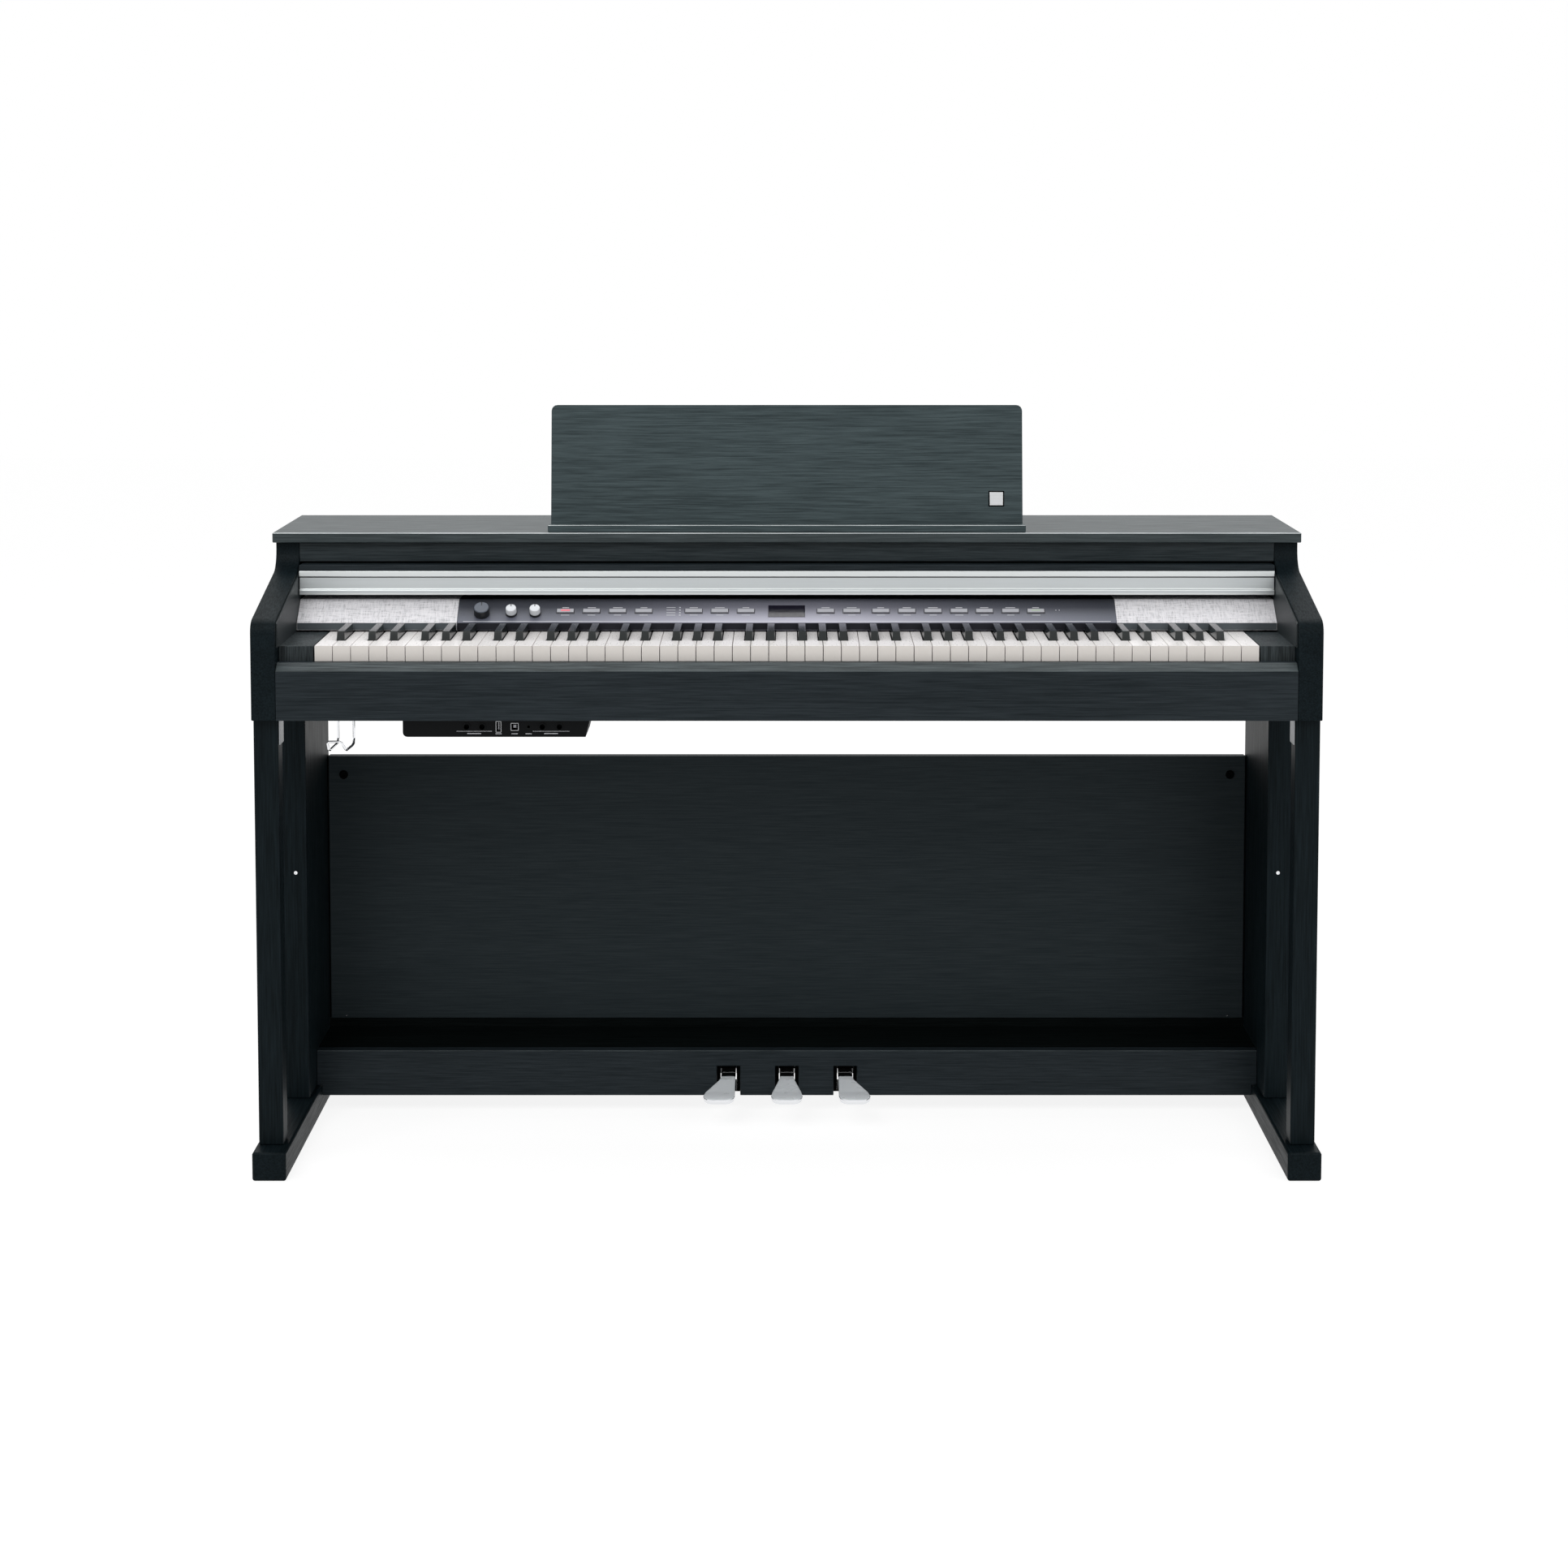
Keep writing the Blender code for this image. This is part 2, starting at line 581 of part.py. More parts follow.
def make_cover():
    """Sliding key cover: board, aluminium front rail, and the rear shaft with its rollers."""
    half = CHEEK_INNER - SIDE_GAP
    board_rear = SHAFT_Y - SHAFT_R - SEAT
    low = COVER_TOP - COVER_THICK
    board = box("cover_board", (-half, RAIL_FRONT + 0.001, low), (half, board_rear, COVER_TOP))
    top, bottom = low - SEAT, low - SEAT - RAIL_HEIGHT
    front, back = RAIL_FRONT, RAIL_FRONT + RAIL_DEPTH
    proud = front + RAIL_LIP
    outline = [(front, bottom), (back, bottom), (back, top), (front, top),
               (front, top - 0.0075), (proud, top - 0.0080), (proud, bottom + 0.0075),
               (front, bottom + 0.0065)]
    rail = along_x("cover_rail", outline, -half, half, (0.75, 0.77, 0.78), 0.3, 0.9)
    axis_z = COVER_TOP - COVER_THICK / 2
    reach = ARM_INNER + ROLLER_REACH
    bm = bmesh.new()
    roller = ROLLER_REACH + 0.002
    profile = [(0, -reach), (ROLLER_R, -reach), (ROLLER_R, -reach + roller), (SHAFT_R, -reach + roller),
               (SHAFT_R, reach - roller), (ROLLER_R, reach - roller), (ROLLER_R, reach), (0, reach)]
    add_lathe(bm, profile, 16)
    bmesh.ops.rotate(bm, cent=(0, 0, 0), matrix=Matrix.Rotation(math.pi / 2, 3, "Y"), verts=bm.verts)
    shaft = add_object("cover_shaft", bm, STEEL, 0.3, 1.0)
    smooth(shaft)
    shaft.location = (0, SHAFT_Y, axis_z)
    for piece in (board, rail):
        set_origin(piece, (0, SHAFT_Y, axis_z))


def make_music_rest():
    front = LID_FRONT + LEDGE_SETBACK
    ledge = box("music_ledge", (-LEDGE_HALF, front, LID_TOP + SEAT),
                (LEDGE_HALF, front + LEDGE_DEPTH, LID_TOP + LEDGE_HEIGHT))
    bevel(ledge, 0.0008)
    corner = REST_CORNER
    right = arc((REST_HALF - corner, REST_LENGTH - corner), corner, 0, 90, 4)
    left = arc((-REST_HALF + corner, REST_LENGTH - corner), corner, 90, 180, 4)
    outline = [(-REST_HALF, 0), (REST_HALF, 0)] + right + left
    rest = along_y("music_board", outline, -REST_THICK, 0)
    hinge_y = front + LEDGE_DEPTH + 0.0006 + REST_THICK * math.cos(REST_LEAN)
    rest.location = (0, hinge_y, LID_TOP + REST_FOOT)
    rest.rotation_euler = (-REST_LEAN, 0, 0)


def make_stand():
    foot_inner = FOOT_OUTER - FOOT_WIDTH

    def side_pieces(side, sign):
        foot = box(f"{side}_foot", (sign * foot_inner, -DEPTH / 2, 0),
                   (sign * FOOT_OUTER, DEPTH / 2, FOOT_HEIGHT))
        bevel(foot, 0.003, 2)
        top = BODY_BOTTOM - SEAT
        box(f"{side}_post", (sign * POST_INNER, POST_FRONT, FOOT_HEIGHT + SEAT),
            (sign * ARM_OUTER, POST_FRONT + POST_DEPTH, top))
        box(f"{side}_side_board", (sign * SIDE_BOARD_INNER, SIDE_BOARD_FRONT, FOOT_HEIGHT + SEAT),
            (sign * ARM_OUTER, BODY_REAR, top))

    both_sides(side_pieces)
    rear = BACK_BOARD_FRONT + BACK_BOARD_THICK
    box("back_board", (-BACK_BOARD_HALF, BACK_BOARD_FRONT, BACK_BOARD_BOTTOM),
        (BACK_BOARD_HALF, rear, BACK_BOARD_TOP))
    inner = SIDE_BOARD_INNER - SEAT
    low = PEDAL_BOX_TOP - PEDAL_BOX_THICK
    along_x("pedal_housing", [(PEDAL_BOARD_FRONT + PEDAL_BOARD_THICK + SEAT, low),
                              (rear, low), (rear, BACK_BOARD_BOTTOM - SEAT),
                              (BACK_BOARD_FRONT, BACK_BOARD_BOTTOM - SEAT),
                              (BACK_BOARD_FRONT, PEDAL_BOX_TOP),
                              (PEDAL_BOARD_FRONT + PEDAL_BOARD_THICK + SEAT, PEDAL_BOX_TOP)],
            -inner, inner)
    over_foot, beside_foot = FOOT_HEIGHT + SEAT, foot_inner - SEAT
    outline = [(-inner, PEDAL_BOX_TOP), (-inner, over_foot), (-beside_foot, over_foot),
               (-beside_foot, PEDAL_BOARD_BOTTOM)]
    for x in PEDAL_X.values():
        outline += [(x - SLOT_WIDTH / 2, PEDAL_BOARD_BOTTOM), (x - SLOT_WIDTH / 2, SLOT_TOP),
                    (x + SLOT_WIDTH / 2, SLOT_TOP), (x + SLOT_WIDTH / 2, PEDAL_BOARD_BOTTOM)]
    outline += [(beside_foot, PEDAL_BOARD_BOTTOM), (beside_foot, over_foot),
                (inner, over_foot), (inner, PEDAL_BOX_TOP)]
    along_y("pedal_board", outline, PEDAL_BOARD_FRONT, PEDAL_BOARD_FRONT + PEDAL_BOARD_THICK)


def make_pedals():
    low = PEDAL_BOX_TOP - PEDAL_BOX_THICK - SEAT
    ears = []
    for x in PEDAL_X.values():
        offset = PEDAL_STEM / 2 + FIT + EAR_THICK / 2
        ears += [x - offset, x + offset]
    comb = comb_outline(ears, EAR_THICK, (low, low - FRAME_PLATE), PEDAL_TOP - PEDAL_THICK - 0.004, 0.01)
    along_y("pedal_frame", comb, PEDAL_PIVOT_Y - FRAME_DEPTH / 2, PEDAL_PIVOT_Y + FRAME_DEPTH / 2,
            STEEL, 0.4, 1.0)
    half = PEDAL_STEM / 2
    for name, x in PEDAL_X.items():
        flare0, flare1 = PEDAL_FLARE[name]
        tip, board = PEDAL_TIP_Y, PEDAL_BOARD_FRONT
        stations = [(PEDAL_PIVOT_Y + 0.012, -half, half, PEDAL_TOP), (board - 0.012, -half, half, PEDAL_TOP)]
        for share in (0.2, 0.5, 0.8, 1.0):
            ease = share * share * (3 - 2 * share)
            y = board - 0.012 + (tip + 0.016 - board + 0.012) * share
            stations.append((y, -half + (flare0 + half) * ease, half + (flare1 - half) * ease,
                             PEDAL_TOP + (PEDAL_TIP_TOP + 0.002 - PEDAL_TOP) * ease))
        for share in (0.5, 0.85, 1.0):
            inset = (1 - math.sqrt(1 - share * share)) * 0.012
            stations.append((tip + 0.016 * (1 - share), flare0 + inset, flare1 - inset,
                             PEDAL_TIP_TOP + 0.002 * (1 - share)))
        bm = bmesh.new()
        rings = []
        for y, left, right, top in stations:
            corners = [(x + left, y, top - PEDAL_THICK), (x + right, y, top - PEDAL_THICK),
                       (x + right, y, top), (x + left, y, top)]
            rings.append([bm.verts.new(corner) for corner in corners])
        bm.faces.new(rings[0])
        bm.faces.new(rings[-1][::-1])
        for near, far in zip(rings, rings[1:]):
            for k in range(4):
                n = (k + 1) % 4
                bm.faces.new((near[k], near[n], far[n], far[k]))
        pedal = add_object(name, bm, (0.8, 0.8, 0.82), 0.1, 1.0)
        smooth(pedal, 50)
        set_origin(pedal, (x, PEDAL_PIVOT_Y, PEDAL_TOP - PEDAL_THICK / 2))


def make_brackets():
    def bracket(side, sign):
        outer = POST_INNER - SEAT
        top = BODY_BOTTOM - SEAT
        outline = [(sign * outer, top), (sign * (outer - 0.035), top),
                   (sign * (outer - 0.035), top - 0.002), (sign * (outer - 0.002), top - 0.002),
                   (sign * (outer - 0.002), top - 0.034), (sign * outer, top - 0.034)]
        along_y(f"{side}_bracket", outline, POST_FRONT + 0.003, POST_FRONT + POST_DEPTH - 0.003,
                STEEL, 0.4, 1.0)

    both_sides(bracket)


def make_jack_box():
    top, low = BODY_BOTTOM - SEAT, BODY_BOTTOM - SEAT - JACK_HEIGHT
    corner = arc((JACK_LEFT + JACK_CORNER, low + JACK_CORNER), JACK_CORNER, 180, 270, 4)
    outline = [(JACK_RIGHT, top), (JACK_LEFT, top)] + corner + [(JACK_RIGHT - JACK_SLANT, low)]
    jack_box = along_y("jack_box", outline, JACK_FRONT, JACK_FRONT + JACK_DEPTH, PLASTIC, 0.4)
    holes = bmesh.new()
    start = JACK_FRONT - 0.010
    for name, (x, wide, high) in SOCKETS.items():
        if name in ROUND_SOCKETS:
            add_cylinder(holes, (x, start, JACK_Z), (0, 1, 0), wide / 2, SOCKET_DEEP + 0.010, 16)
        else:
            add_box(holes, (x - wide / 2, start, JACK_Z - high / 2),
                    (x + wide / 2, JACK_FRONT + SOCKET_DEEP, JACK_Z + high / 2))
    add_cylinder(holes, (AUX_X, start, JACK_Z), (0, 1, 0), AUX_R, SOCKET_DEEP + 0.010, 12)
    boolean(jack_box, add_object("socket_cutter", holes), "DIFFERENCE")


def make_hook():
    """One bent wire: two legs down from the bed, then forward and up to the open front."""
    left, right = HOOK_X
    top, low = BODY_BOTTOM - SEAT, BODY_BOTTOM - HOOK_DROP
    front = HOOK_Y - HOOK_REACH
    bend = 0.008
    lift = low + HOOK_RISE
    points = [(left, HOOK_Y, top), (left, HOOK_Y, low + bend), (left - 0.001, HOOK_Y - 0.003, low + 0.002),
              (left - 0.003, HOOK_Y - bend, low), (left - 0.006, front + bend, low - 0.002),
              (left - 0.007, front + 0.003, low), (left - 0.008, front, lift - 0.002),
              (left - 0.006, front, lift), (right - 0.014, front, lift), (right - 0.010, front, lift - 0.002),
              (right - 0.006, front + 0.003, low), (right - 0.005, front + bend, low - 0.002),
              (right - 0.001, HOOK_Y - bend, low), (right, HOOK_Y - 0.003, low + 0.002),
              (right, HOOK_Y, low + bend), (right, HOOK_Y, top)]
    data = bpy.data.curves.new("headphone_hook", "CURVE")
    data.dimensions = "3D"
    data.bevel_depth = HOOK_WIRE_R
    data.bevel_resolution = 2
    data.use_fill_caps = True
    spline = data.splines.new("POLY")
    spline.points.add(len(points) - 1)
    for point, place in zip(spline.points, points):
        point.co = (*place, 1)
    hook = bpy.data.objects.new("headphone_hook", data)
    data.materials.append(material("headphone_hook", (0.8, 0.8, 0.82), 0.12, 1.0))
    bpy.context.scene.collection.objects.link(hook)


def make_works():
    """Loudspeakers that face down through the bed, the main circuit board and the mains inlet."""
    base = BED_TOP + SEAT
    r, mouth = SPEAKER_R, SPEAKER_MOUTH_R - 0.004
    profile = [(0, 0.012), (0.018, 0.012), (mouth, 0), (r, 0), (r, 0.006), (0.030, 0.026),
               (0.030, SPEAKER_HEIGHT), (0, SPEAKER_HEIGHT)]
    for side, x in (("left", -SPEAKER_X), ("right", SPEAKER_X)):
        bm = bmesh.new()
        add_lathe(bm, profile, 32)
        speaker = add_object(f"{side}_speaker", bm, (0.05, 0.05, 0.05), 0.6)
        smooth(speaker)
        speaker.location = (x, SPEAKER_Y, base)
    long, deep, thick = BOARD_SIZE
    legs = [-long / 2 + 0.010, 0, long / 2 - 0.010]
    web = (base + BOARD_STAND + thick, base + BOARD_STAND)
    along_y("circuit_board", comb_outline(legs, 0.006, web, base, 0.007), SPEAKER_Y - deep / 2,
            SPEAKER_Y + deep / 2, (0.02, 0.12, 0.05), 0.5)
    wide, high = INLET_SIZE[0] / 2, INLET_SIZE[1] / 2
    face = BODY_REAR + 0.002
    inlet = box("mains_inlet", (INLET_X - wide, face - INLET_DEEP, INLET_Z - high),
                (INLET_X + wide, face, INLET_Z + high), PLASTIC, 0.5)
    flange = box("inlet_flange", (INLET_X - wide - INLET_FLANGE, BODY_REAR + SEAT, INLET_Z - high - INLET_FLANGE),
                 (INLET_X + wide + INLET_FLANGE, face, INLET_Z + high + INLET_FLANGE))
    boolean(inlet, flange, "UNION")
    wide, high = INLET_MOUTH[0] / 2, INLET_MOUTH[1] / 2
    boolean(inlet, box("inlet_mouth", (INLET_X - wide, face - INLET_DEEP + 0.004, INLET_Z - high),
                       (INLET_X + wide, face + 0.01, INLET_Z + high)), "DIFFERENCE")


def main():
    clear_scene()
    make_stand()
    make_case()
    make_chassis()
    make_keys()
    make_panels()
    make_buttons()
    make_knobs()
    make_cover()
    make_music_rest()
    make_pedals()
    make_brackets()
    make_jack_box()
    make_hook()
    make_works()


main()
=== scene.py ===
"""Finish, camera and light for the digital piano.

Everything is in metres, in the frame of the CAD model: X to the right, Y to the back, Z up.
"""

import json
import math

import bmesh
import bpy
from mathutils import Matrix, Vector


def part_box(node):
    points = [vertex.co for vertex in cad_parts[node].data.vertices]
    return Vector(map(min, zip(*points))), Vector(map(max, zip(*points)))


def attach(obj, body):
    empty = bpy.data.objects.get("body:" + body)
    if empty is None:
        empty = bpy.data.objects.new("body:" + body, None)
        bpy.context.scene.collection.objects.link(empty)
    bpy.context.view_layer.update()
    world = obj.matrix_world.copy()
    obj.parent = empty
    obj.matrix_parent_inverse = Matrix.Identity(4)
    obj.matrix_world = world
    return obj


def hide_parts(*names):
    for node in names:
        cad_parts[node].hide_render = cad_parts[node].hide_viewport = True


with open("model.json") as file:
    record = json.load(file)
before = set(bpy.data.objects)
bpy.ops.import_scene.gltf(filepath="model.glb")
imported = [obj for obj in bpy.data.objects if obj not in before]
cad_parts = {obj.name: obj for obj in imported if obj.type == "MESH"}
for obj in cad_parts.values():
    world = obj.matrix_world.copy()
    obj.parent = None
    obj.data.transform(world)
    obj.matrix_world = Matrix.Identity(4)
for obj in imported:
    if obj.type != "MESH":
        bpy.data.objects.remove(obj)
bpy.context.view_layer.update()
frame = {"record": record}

RECORD = frame["record"]
BODY_OF = {node: body for body, nodes in RECORD["behaviour"]["bodies"].items() for node in nodes}
JOINT = {joint["name"]: joint for joint in RECORD["behaviour"]["joints"]}

KEY_LETTERS = "abcdefg"
SHARP_LETTERS = "acdfg"
PEDALS = ("soft_pedal", "sostenuto_pedal", "damper_pedal")
SIDES = (-1, 1)
TO_FRONT = Vector((0, -1, 0))
TO_BACK = Vector((0, 1, 0))
NO_TURN = Matrix.Identity(4)

# The photograph's frame, and the camera that matches it
IMAGE = 1932
FOCAL_PX = 3796.6
CENTRE_X_PX = 969.5
PRINCIPAL_Y_PX = 577
SENSOR = 36.0
CAMERA_PLACE = (0.0, -4.141, 1.2414)
PITCH = 0.08023

# Lamps: name, place, the point it faces, width and height, power in watts
LAMPS = (
    ("key_light", (-1.6, -3.2, 3.4), (0, 0, 0.6), (2.6, 2.0), 62),
    ("fill_light", (2.2, -3.0, 2.2), (0, 0, 0.5), (2.4, 2.0), 30),
    ("top_light", (0.0, 0.6, 3.0), (0, 0, 0.6), (3.0, 1.6), 44),
)
WORLD_LIGHT = 0.50
FLOOR_HALF = 12.0
FLOOR_GREY = 0.9
FLOOR_GLOW = 1.2
FLOOR_GLOW_SHARE = 0.72     # the rest of the floor's colour is lit, and keeps the shadow


def corners(node):
    low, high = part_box(node)
    return Vector(low), Vector(high)


def joint_place(name):
    return Vector(JOINT[name]["pos_m"])


# Slope of the control panel, as in the CAD
PANEL_RUN, PANEL_RISE = 0.035, 0.0272
PANEL_SLOPE = math.atan2(PANEL_RISE, PANEL_RUN)
SLOPE_TURN = Matrix.Rotation(PANEL_SLOPE, 4, "X")
PANEL_LOW, PANEL_HIGH = corners("control_panel")


def on_slope(x, up, height=0.0):
    """A point on or above the panel's slope, up from the slope's front edge."""
    c, s = math.cos(PANEL_SLOPE), math.sin(PANEL_SLOPE)
    front_z = PANEL_HIGH.z - PANEL_RISE
    return Vector((x, PANEL_LOW.y + up * c - height * s, front_z + up * s + height * c))


# Material building blocks

def new_material(name, color, roughness=0.5, metallic=0.0, specular=0.5):
    made = bpy.data.materials.new(name)
    made.use_nodes = True
    shader = made.node_tree.nodes["Principled BSDF"]
    shader.inputs["Base Color"].default_value = (*color, 1.0)
    shader.inputs["Roughness"].default_value = roughness
    shader.inputs["Metallic"].default_value = metallic
    shader.inputs["Specular IOR Level"].default_value = specular
    made.diffuse_color = (*color, 1.0)
    return made, made.node_tree, shader


def coordinates(tree, scale, turn=(0, 0, 0)):
    """Object coordinates, scaled by one number or by one for each axis."""
    source = tree.nodes.new("ShaderNodeTexCoord")
    mapping = tree.nodes.new("ShaderNodeMapping")
    mapping.inputs["Scale"].default_value = scale if isinstance(scale, tuple) else (scale,) * 3
    mapping.inputs["Rotation"].default_value = turn
    tree.links.new(source.outputs["Object"], mapping.inputs["Vector"])
    return mapping.outputs["Vector"]


def noise(tree, vector, detail=4.0, roughness=0.6, distortion=0.0):
    made = tree.nodes.new("ShaderNodeTexNoise")
    made.inputs["Scale"].default_value = 1.0
    made.inputs["Detail"].default_value = detail
    made.inputs["Roughness"].default_value = roughness
    made.inputs["Distortion"].default_value = distortion
    tree.links.new(vector, made.inputs["Vector"])
    return made.outputs[0]


def ramp(tree, value, stops):
    """A colour ramp. The first two stops are its ends, and the others lie between them."""
    made = tree.nodes.new("ShaderNodeValToRGB")
    elements = made.color_ramp.elements
    for element, (place, color) in zip(elements, stops):
        element.position = place
        element.color = (*color, 1.0)
    for place, color in stops[2:]:
        elements.new(place).color = (*color, 1.0)
    tree.links.new(value, made.inputs[0])
    return made.outputs[0]


def grey_ramp(tree, value, low, high, start=0.3, end=0.7):
    return ramp(tree, value, [(start, (low,) * 3), (end, (high,) * 3)])


def set_inputs(tree, sockets, values):
    """Numbers and colours go on the sockets themselves, and everything else is linked."""
    for socket, value in zip(sockets, values):
        if isinstance(value, (int, float)):
            socket.default_value = value
        elif isinstance(value, tuple):
            socket.default_value = (*value, 1.0)
        else:
            tree.links.new(value, socket)


def math_node(tree, operation, first, second):
    made = tree.nodes.new("ShaderNodeMath")
    made.operation = operation
    set_inputs(tree, made.inputs, (first, second))
    return made.outputs[0]


def mix_color(tree, factor, first, second, blend="MIX"):
    made = tree.nodes.new("ShaderNodeMix")
    made.data_type = "RGBA"
    made.blend_type = blend
    set_inputs(tree, (made.inputs[0], made.inputs[6], made.inputs[7]), (factor, first, second))
    return made.outputs[2]


def scaled(color, factor):
    return tuple(min(c * factor, 1.0) for c in color)


def paint(tree, shader, color):
    tree.links.new(color, shader.inputs["Base Color"])


def vary_roughness(tree, shader, value, low, high):
    tree.links.new(grey_ramp(tree, value, low, high), shader.inputs["Roughness"])


def bump(tree, shader, height, strength, distance):
    made = tree.nodes.new("ShaderNodeBump")
    made.inputs["Strength"].default_value = strength
    made.inputs["Distance"].default_value = distance
    tree.links.new(height, made.inputs["Height"])
    tree.links.new(made.outputs["Normal"], shader.inputs["Normal"])


# Scale of the fine pores and of the broad figure, by the axis that the grain follows
GRAIN_SCALE = {"X": (15, 520, 520), "Y": (520, 15, 520), "Z": (520, 520, 15)}
FIGURE_SCALE = {"X": (2.5, 38, 38), "Y": (38, 2.5, 38), "Z": (38, 38, 2.5)}
PORE_SHARE, FIGURE_SHARE = 0.78, 0.22


def wood(name, stain, along="X", roughness=0.42, relief=0.25, specular=0.28):
    """Stained wood: fine pores and a broader figure, both drawn out along the grain."""
    dark, light = stain
    made, tree, shader = new_material(name, light, roughness, specular=specular)
    pores = noise(tree, coordinates(tree, GRAIN_SCALE[along]), 5.0, 0.65)
    figure = noise(tree, coordinates(tree, FIGURE_SCALE[along]), 3.0, 0.55, 0.6)
    both = math_node(tree, "ADD", math_node(tree, "MULTIPLY", pores, PORE_SHARE),
                     math_node(tree, "MULTIPLY", figure, FIGURE_SHARE))
    middle = tuple((a + b) / 2 for a, b in zip(dark, light))
    paint(tree, shader, ramp(tree, both, [(0.38, dark), (0.62, light), (0.5, middle)]))
    vary_roughness(tree, shader, pores, roughness + 0.12, roughness - 0.05)
    bump(tree, shader, pores, relief, 0.0003)
    return made


def moulded(name, color, roughness=0.45, grain=2200, relief=0.12, specular=0.35):
    """Moulded plastic or paint with a fine texture and a little unevenness."""
    made, tree, shader = new_material(name, color, roughness, specular=specular)
    fine = noise(tree, coordinates(tree, grain), 2.0)
    broad = noise(tree, coordinates(tree, 14), 3.0)
    paint(tree, shader, mix_color(tree, broad, scaled(color, 0.90), scaled(color, 1.10)))
    vary_roughness(tree, shader, fine, roughness - 0.05, roughness + 0.08)
    bump(tree, shader, fine, relief, 0.0001)
    return made


def brushed(name, color, roughness):
    """Metal brushed along X."""
    made, tree, shader = new_material(name, color, roughness, metallic=1.0)
    lines = noise(tree, coordinates(tree, (6, 1500, 1500)), 4.0, 0.7)
    paint(tree, shader, mix_color(tree, lines, scaled(color, 0.86), scaled(color, 1.08)))
    vary_roughness(tree, shader, lines, roughness - 0.06, roughness + 0.12)
    bump(tree, shader, lines, 0.08, 0.0001)
    return made


def polished(name, color, roughness):
    """Mirror-like plating with faint smears."""
    made, tree, shader = new_material(name, color, roughness, metallic=1.0)
    smear = noise(tree, coordinates(tree, 60), 3.0)
    vary_roughness(tree, shader, smear, roughness, roughness + 0.07)
    return made


def painted_plating(name, color, roughness, metallic):
    """Smooth plated metal, painted with its reflection of the soft, pale light: mostly one clean
    tone.
    """
    made, tree, shader = new_material(name, color, roughness, metallic, 0.6)
    smear = noise(tree, coordinates(tree, 25), 2.0)
    vary_roughness(tree, shader, smear, roughness, roughness + 0.08)
    return made


def glowing(name, color, strength):
    """A small lit window: coloured, with a steady glow and a mottled surface."""
    made, tree, shader = new_material(name, color, 0.3)
    mottle = noise(tree, coordinates(tree, 900), 2.0)
    paint(tree, shader, mix_color(tree, mottle, scaled(color, 0.8), color))
    shader.inputs["Emission Color"].default_value = (*color, 1.0)
    shader.inputs["Emission Strength"].default_value = strength
    return made


def key_material(name, color, roughness, specular=0.5, coat=0.0):
    """Moulded keys with a faint grain along their length."""
    made, tree, shader = new_material(name, color, roughness, specular=specular)
    grain = noise(tree, coordinates(tree, (700, 60, 700)), 3.0)
    paint(tree, shader, mix_color(tree, grain, scaled(color, 0.97), color))
    vary_roughness(tree, shader, grain, roughness - 0.01, roughness + 0.01)
    shader.inputs["Coat Weight"].default_value = coat
    return made


def thread_wave(tree, vector, direction):
    wave = tree.nodes.new("ShaderNodeTexWave")
    wave.bands_direction = direction
    wave.inputs["Scale"].default_value = 300.0
    wave.inputs["Distortion"].default_value = 1.2
    wave.inputs["Detail"].default_value = 1.0
    wave.inputs["Detail Scale"].default_value = 40.0
    tree.links.new(vector, wave.inputs["Vector"])
    return wave.outputs[1]


def cloth_material():
    """Heathered plain weave: threads both ways, with slubs drawn out along each."""
    made, tree, shader = new_material("speaker_cloth", (0.6, 0.58, 0.6), 0.9, specular=0.15)
    turn = (-PANEL_SLOPE, 0, 0)
    vector = coordinates(tree, 1, turn)
    threads = math_node(tree, "MAXIMUM", *[thread_wave(tree, vector, axis) for axis in ("X", "Y")])
    across = noise(tree, coordinates(tree, (70, 620, 620), turn), 4.0, 0.7)
    along = noise(tree, coordinates(tree, (620, 70, 70), turn), 4.0, 0.7)
    slubs = math_node(tree, "MULTIPLY", math_node(tree, "ADD", across, along), 0.5)
    color = ramp(tree, slubs, [(0.38, (0.50, 0.50, 0.52)), (0.64, (1.00, 0.98, 1.00)),
                               (0.46, (0.80, 0.79, 0.82)), (0.54, (0.94, 0.93, 0.96))])
    shade = grey_ramp(tree, threads, 0.72, 1.0, 0.1, 0.8)
    paint(tree, shader, mix_color(tree, 1.0, color, shade, "MULTIPLY"))
    shader.inputs["Sheen Weight"].default_value = 0.25
    bump(tree, shader, threads, 0.5, 0.0004)
    return made


def panel_material():
    """Satin slate grey, with painted light: lighter towards the middle of the keyboard and down the
    slope.
    """
    made, tree, shader = new_material("panel", (0.1, 0.1, 0.13), 0.38, specular=0.4)
    source = tree.nodes.new("ShaderNodeTexCoord")
    split = tree.nodes.new("ShaderNodeSeparateXYZ")
    tree.links.new(source.outputs["Object"], split.inputs[0])
    x, _, z = split.outputs
    # painted light: lighter in the middle of the keyboard, darker towards both ends
    across = math_node(tree, "ADD", math_node(tree, "DIVIDE", x, 2 * PANEL_HIGH.x), 0.5)
    color = ramp(tree, across, [(0.0, (0.030, 0.034, 0.047)), (1.0, (0.028, 0.032, 0.045)),
                                (0.16, (0.052, 0.056, 0.072)), (0.40, (0.158, 0.160, 0.192)),
                                (0.55, (0.172, 0.173, 0.206)), (0.80, (0.078, 0.082, 0.102))])
    # painted light: the slope grows lighter towards its front edge, up to about three times
    down = math_node(tree, "SUBTRACT", PANEL_HIGH.z, z)
    glow = ramp(tree, math_node(tree, "DIVIDE", down, PANEL_RISE),
                [(0.0, (0.55, 0.57, 0.62)), (1.0, (3.10, 3.05, 3.10)), (0.45, (1.25, 1.25, 1.28))])
    color = mix_color(tree, 1.0, color, glow, "MULTIPLY")
    grain = noise(tree, coordinates(tree, 1800), 2.0)
    paint(tree, shader, mix_color(tree, 0.12, color, grey_ramp(tree, grain, 0.05, 0.3)))
    bump(tree, shader, grain, 0.08, 0.0001)
    return made
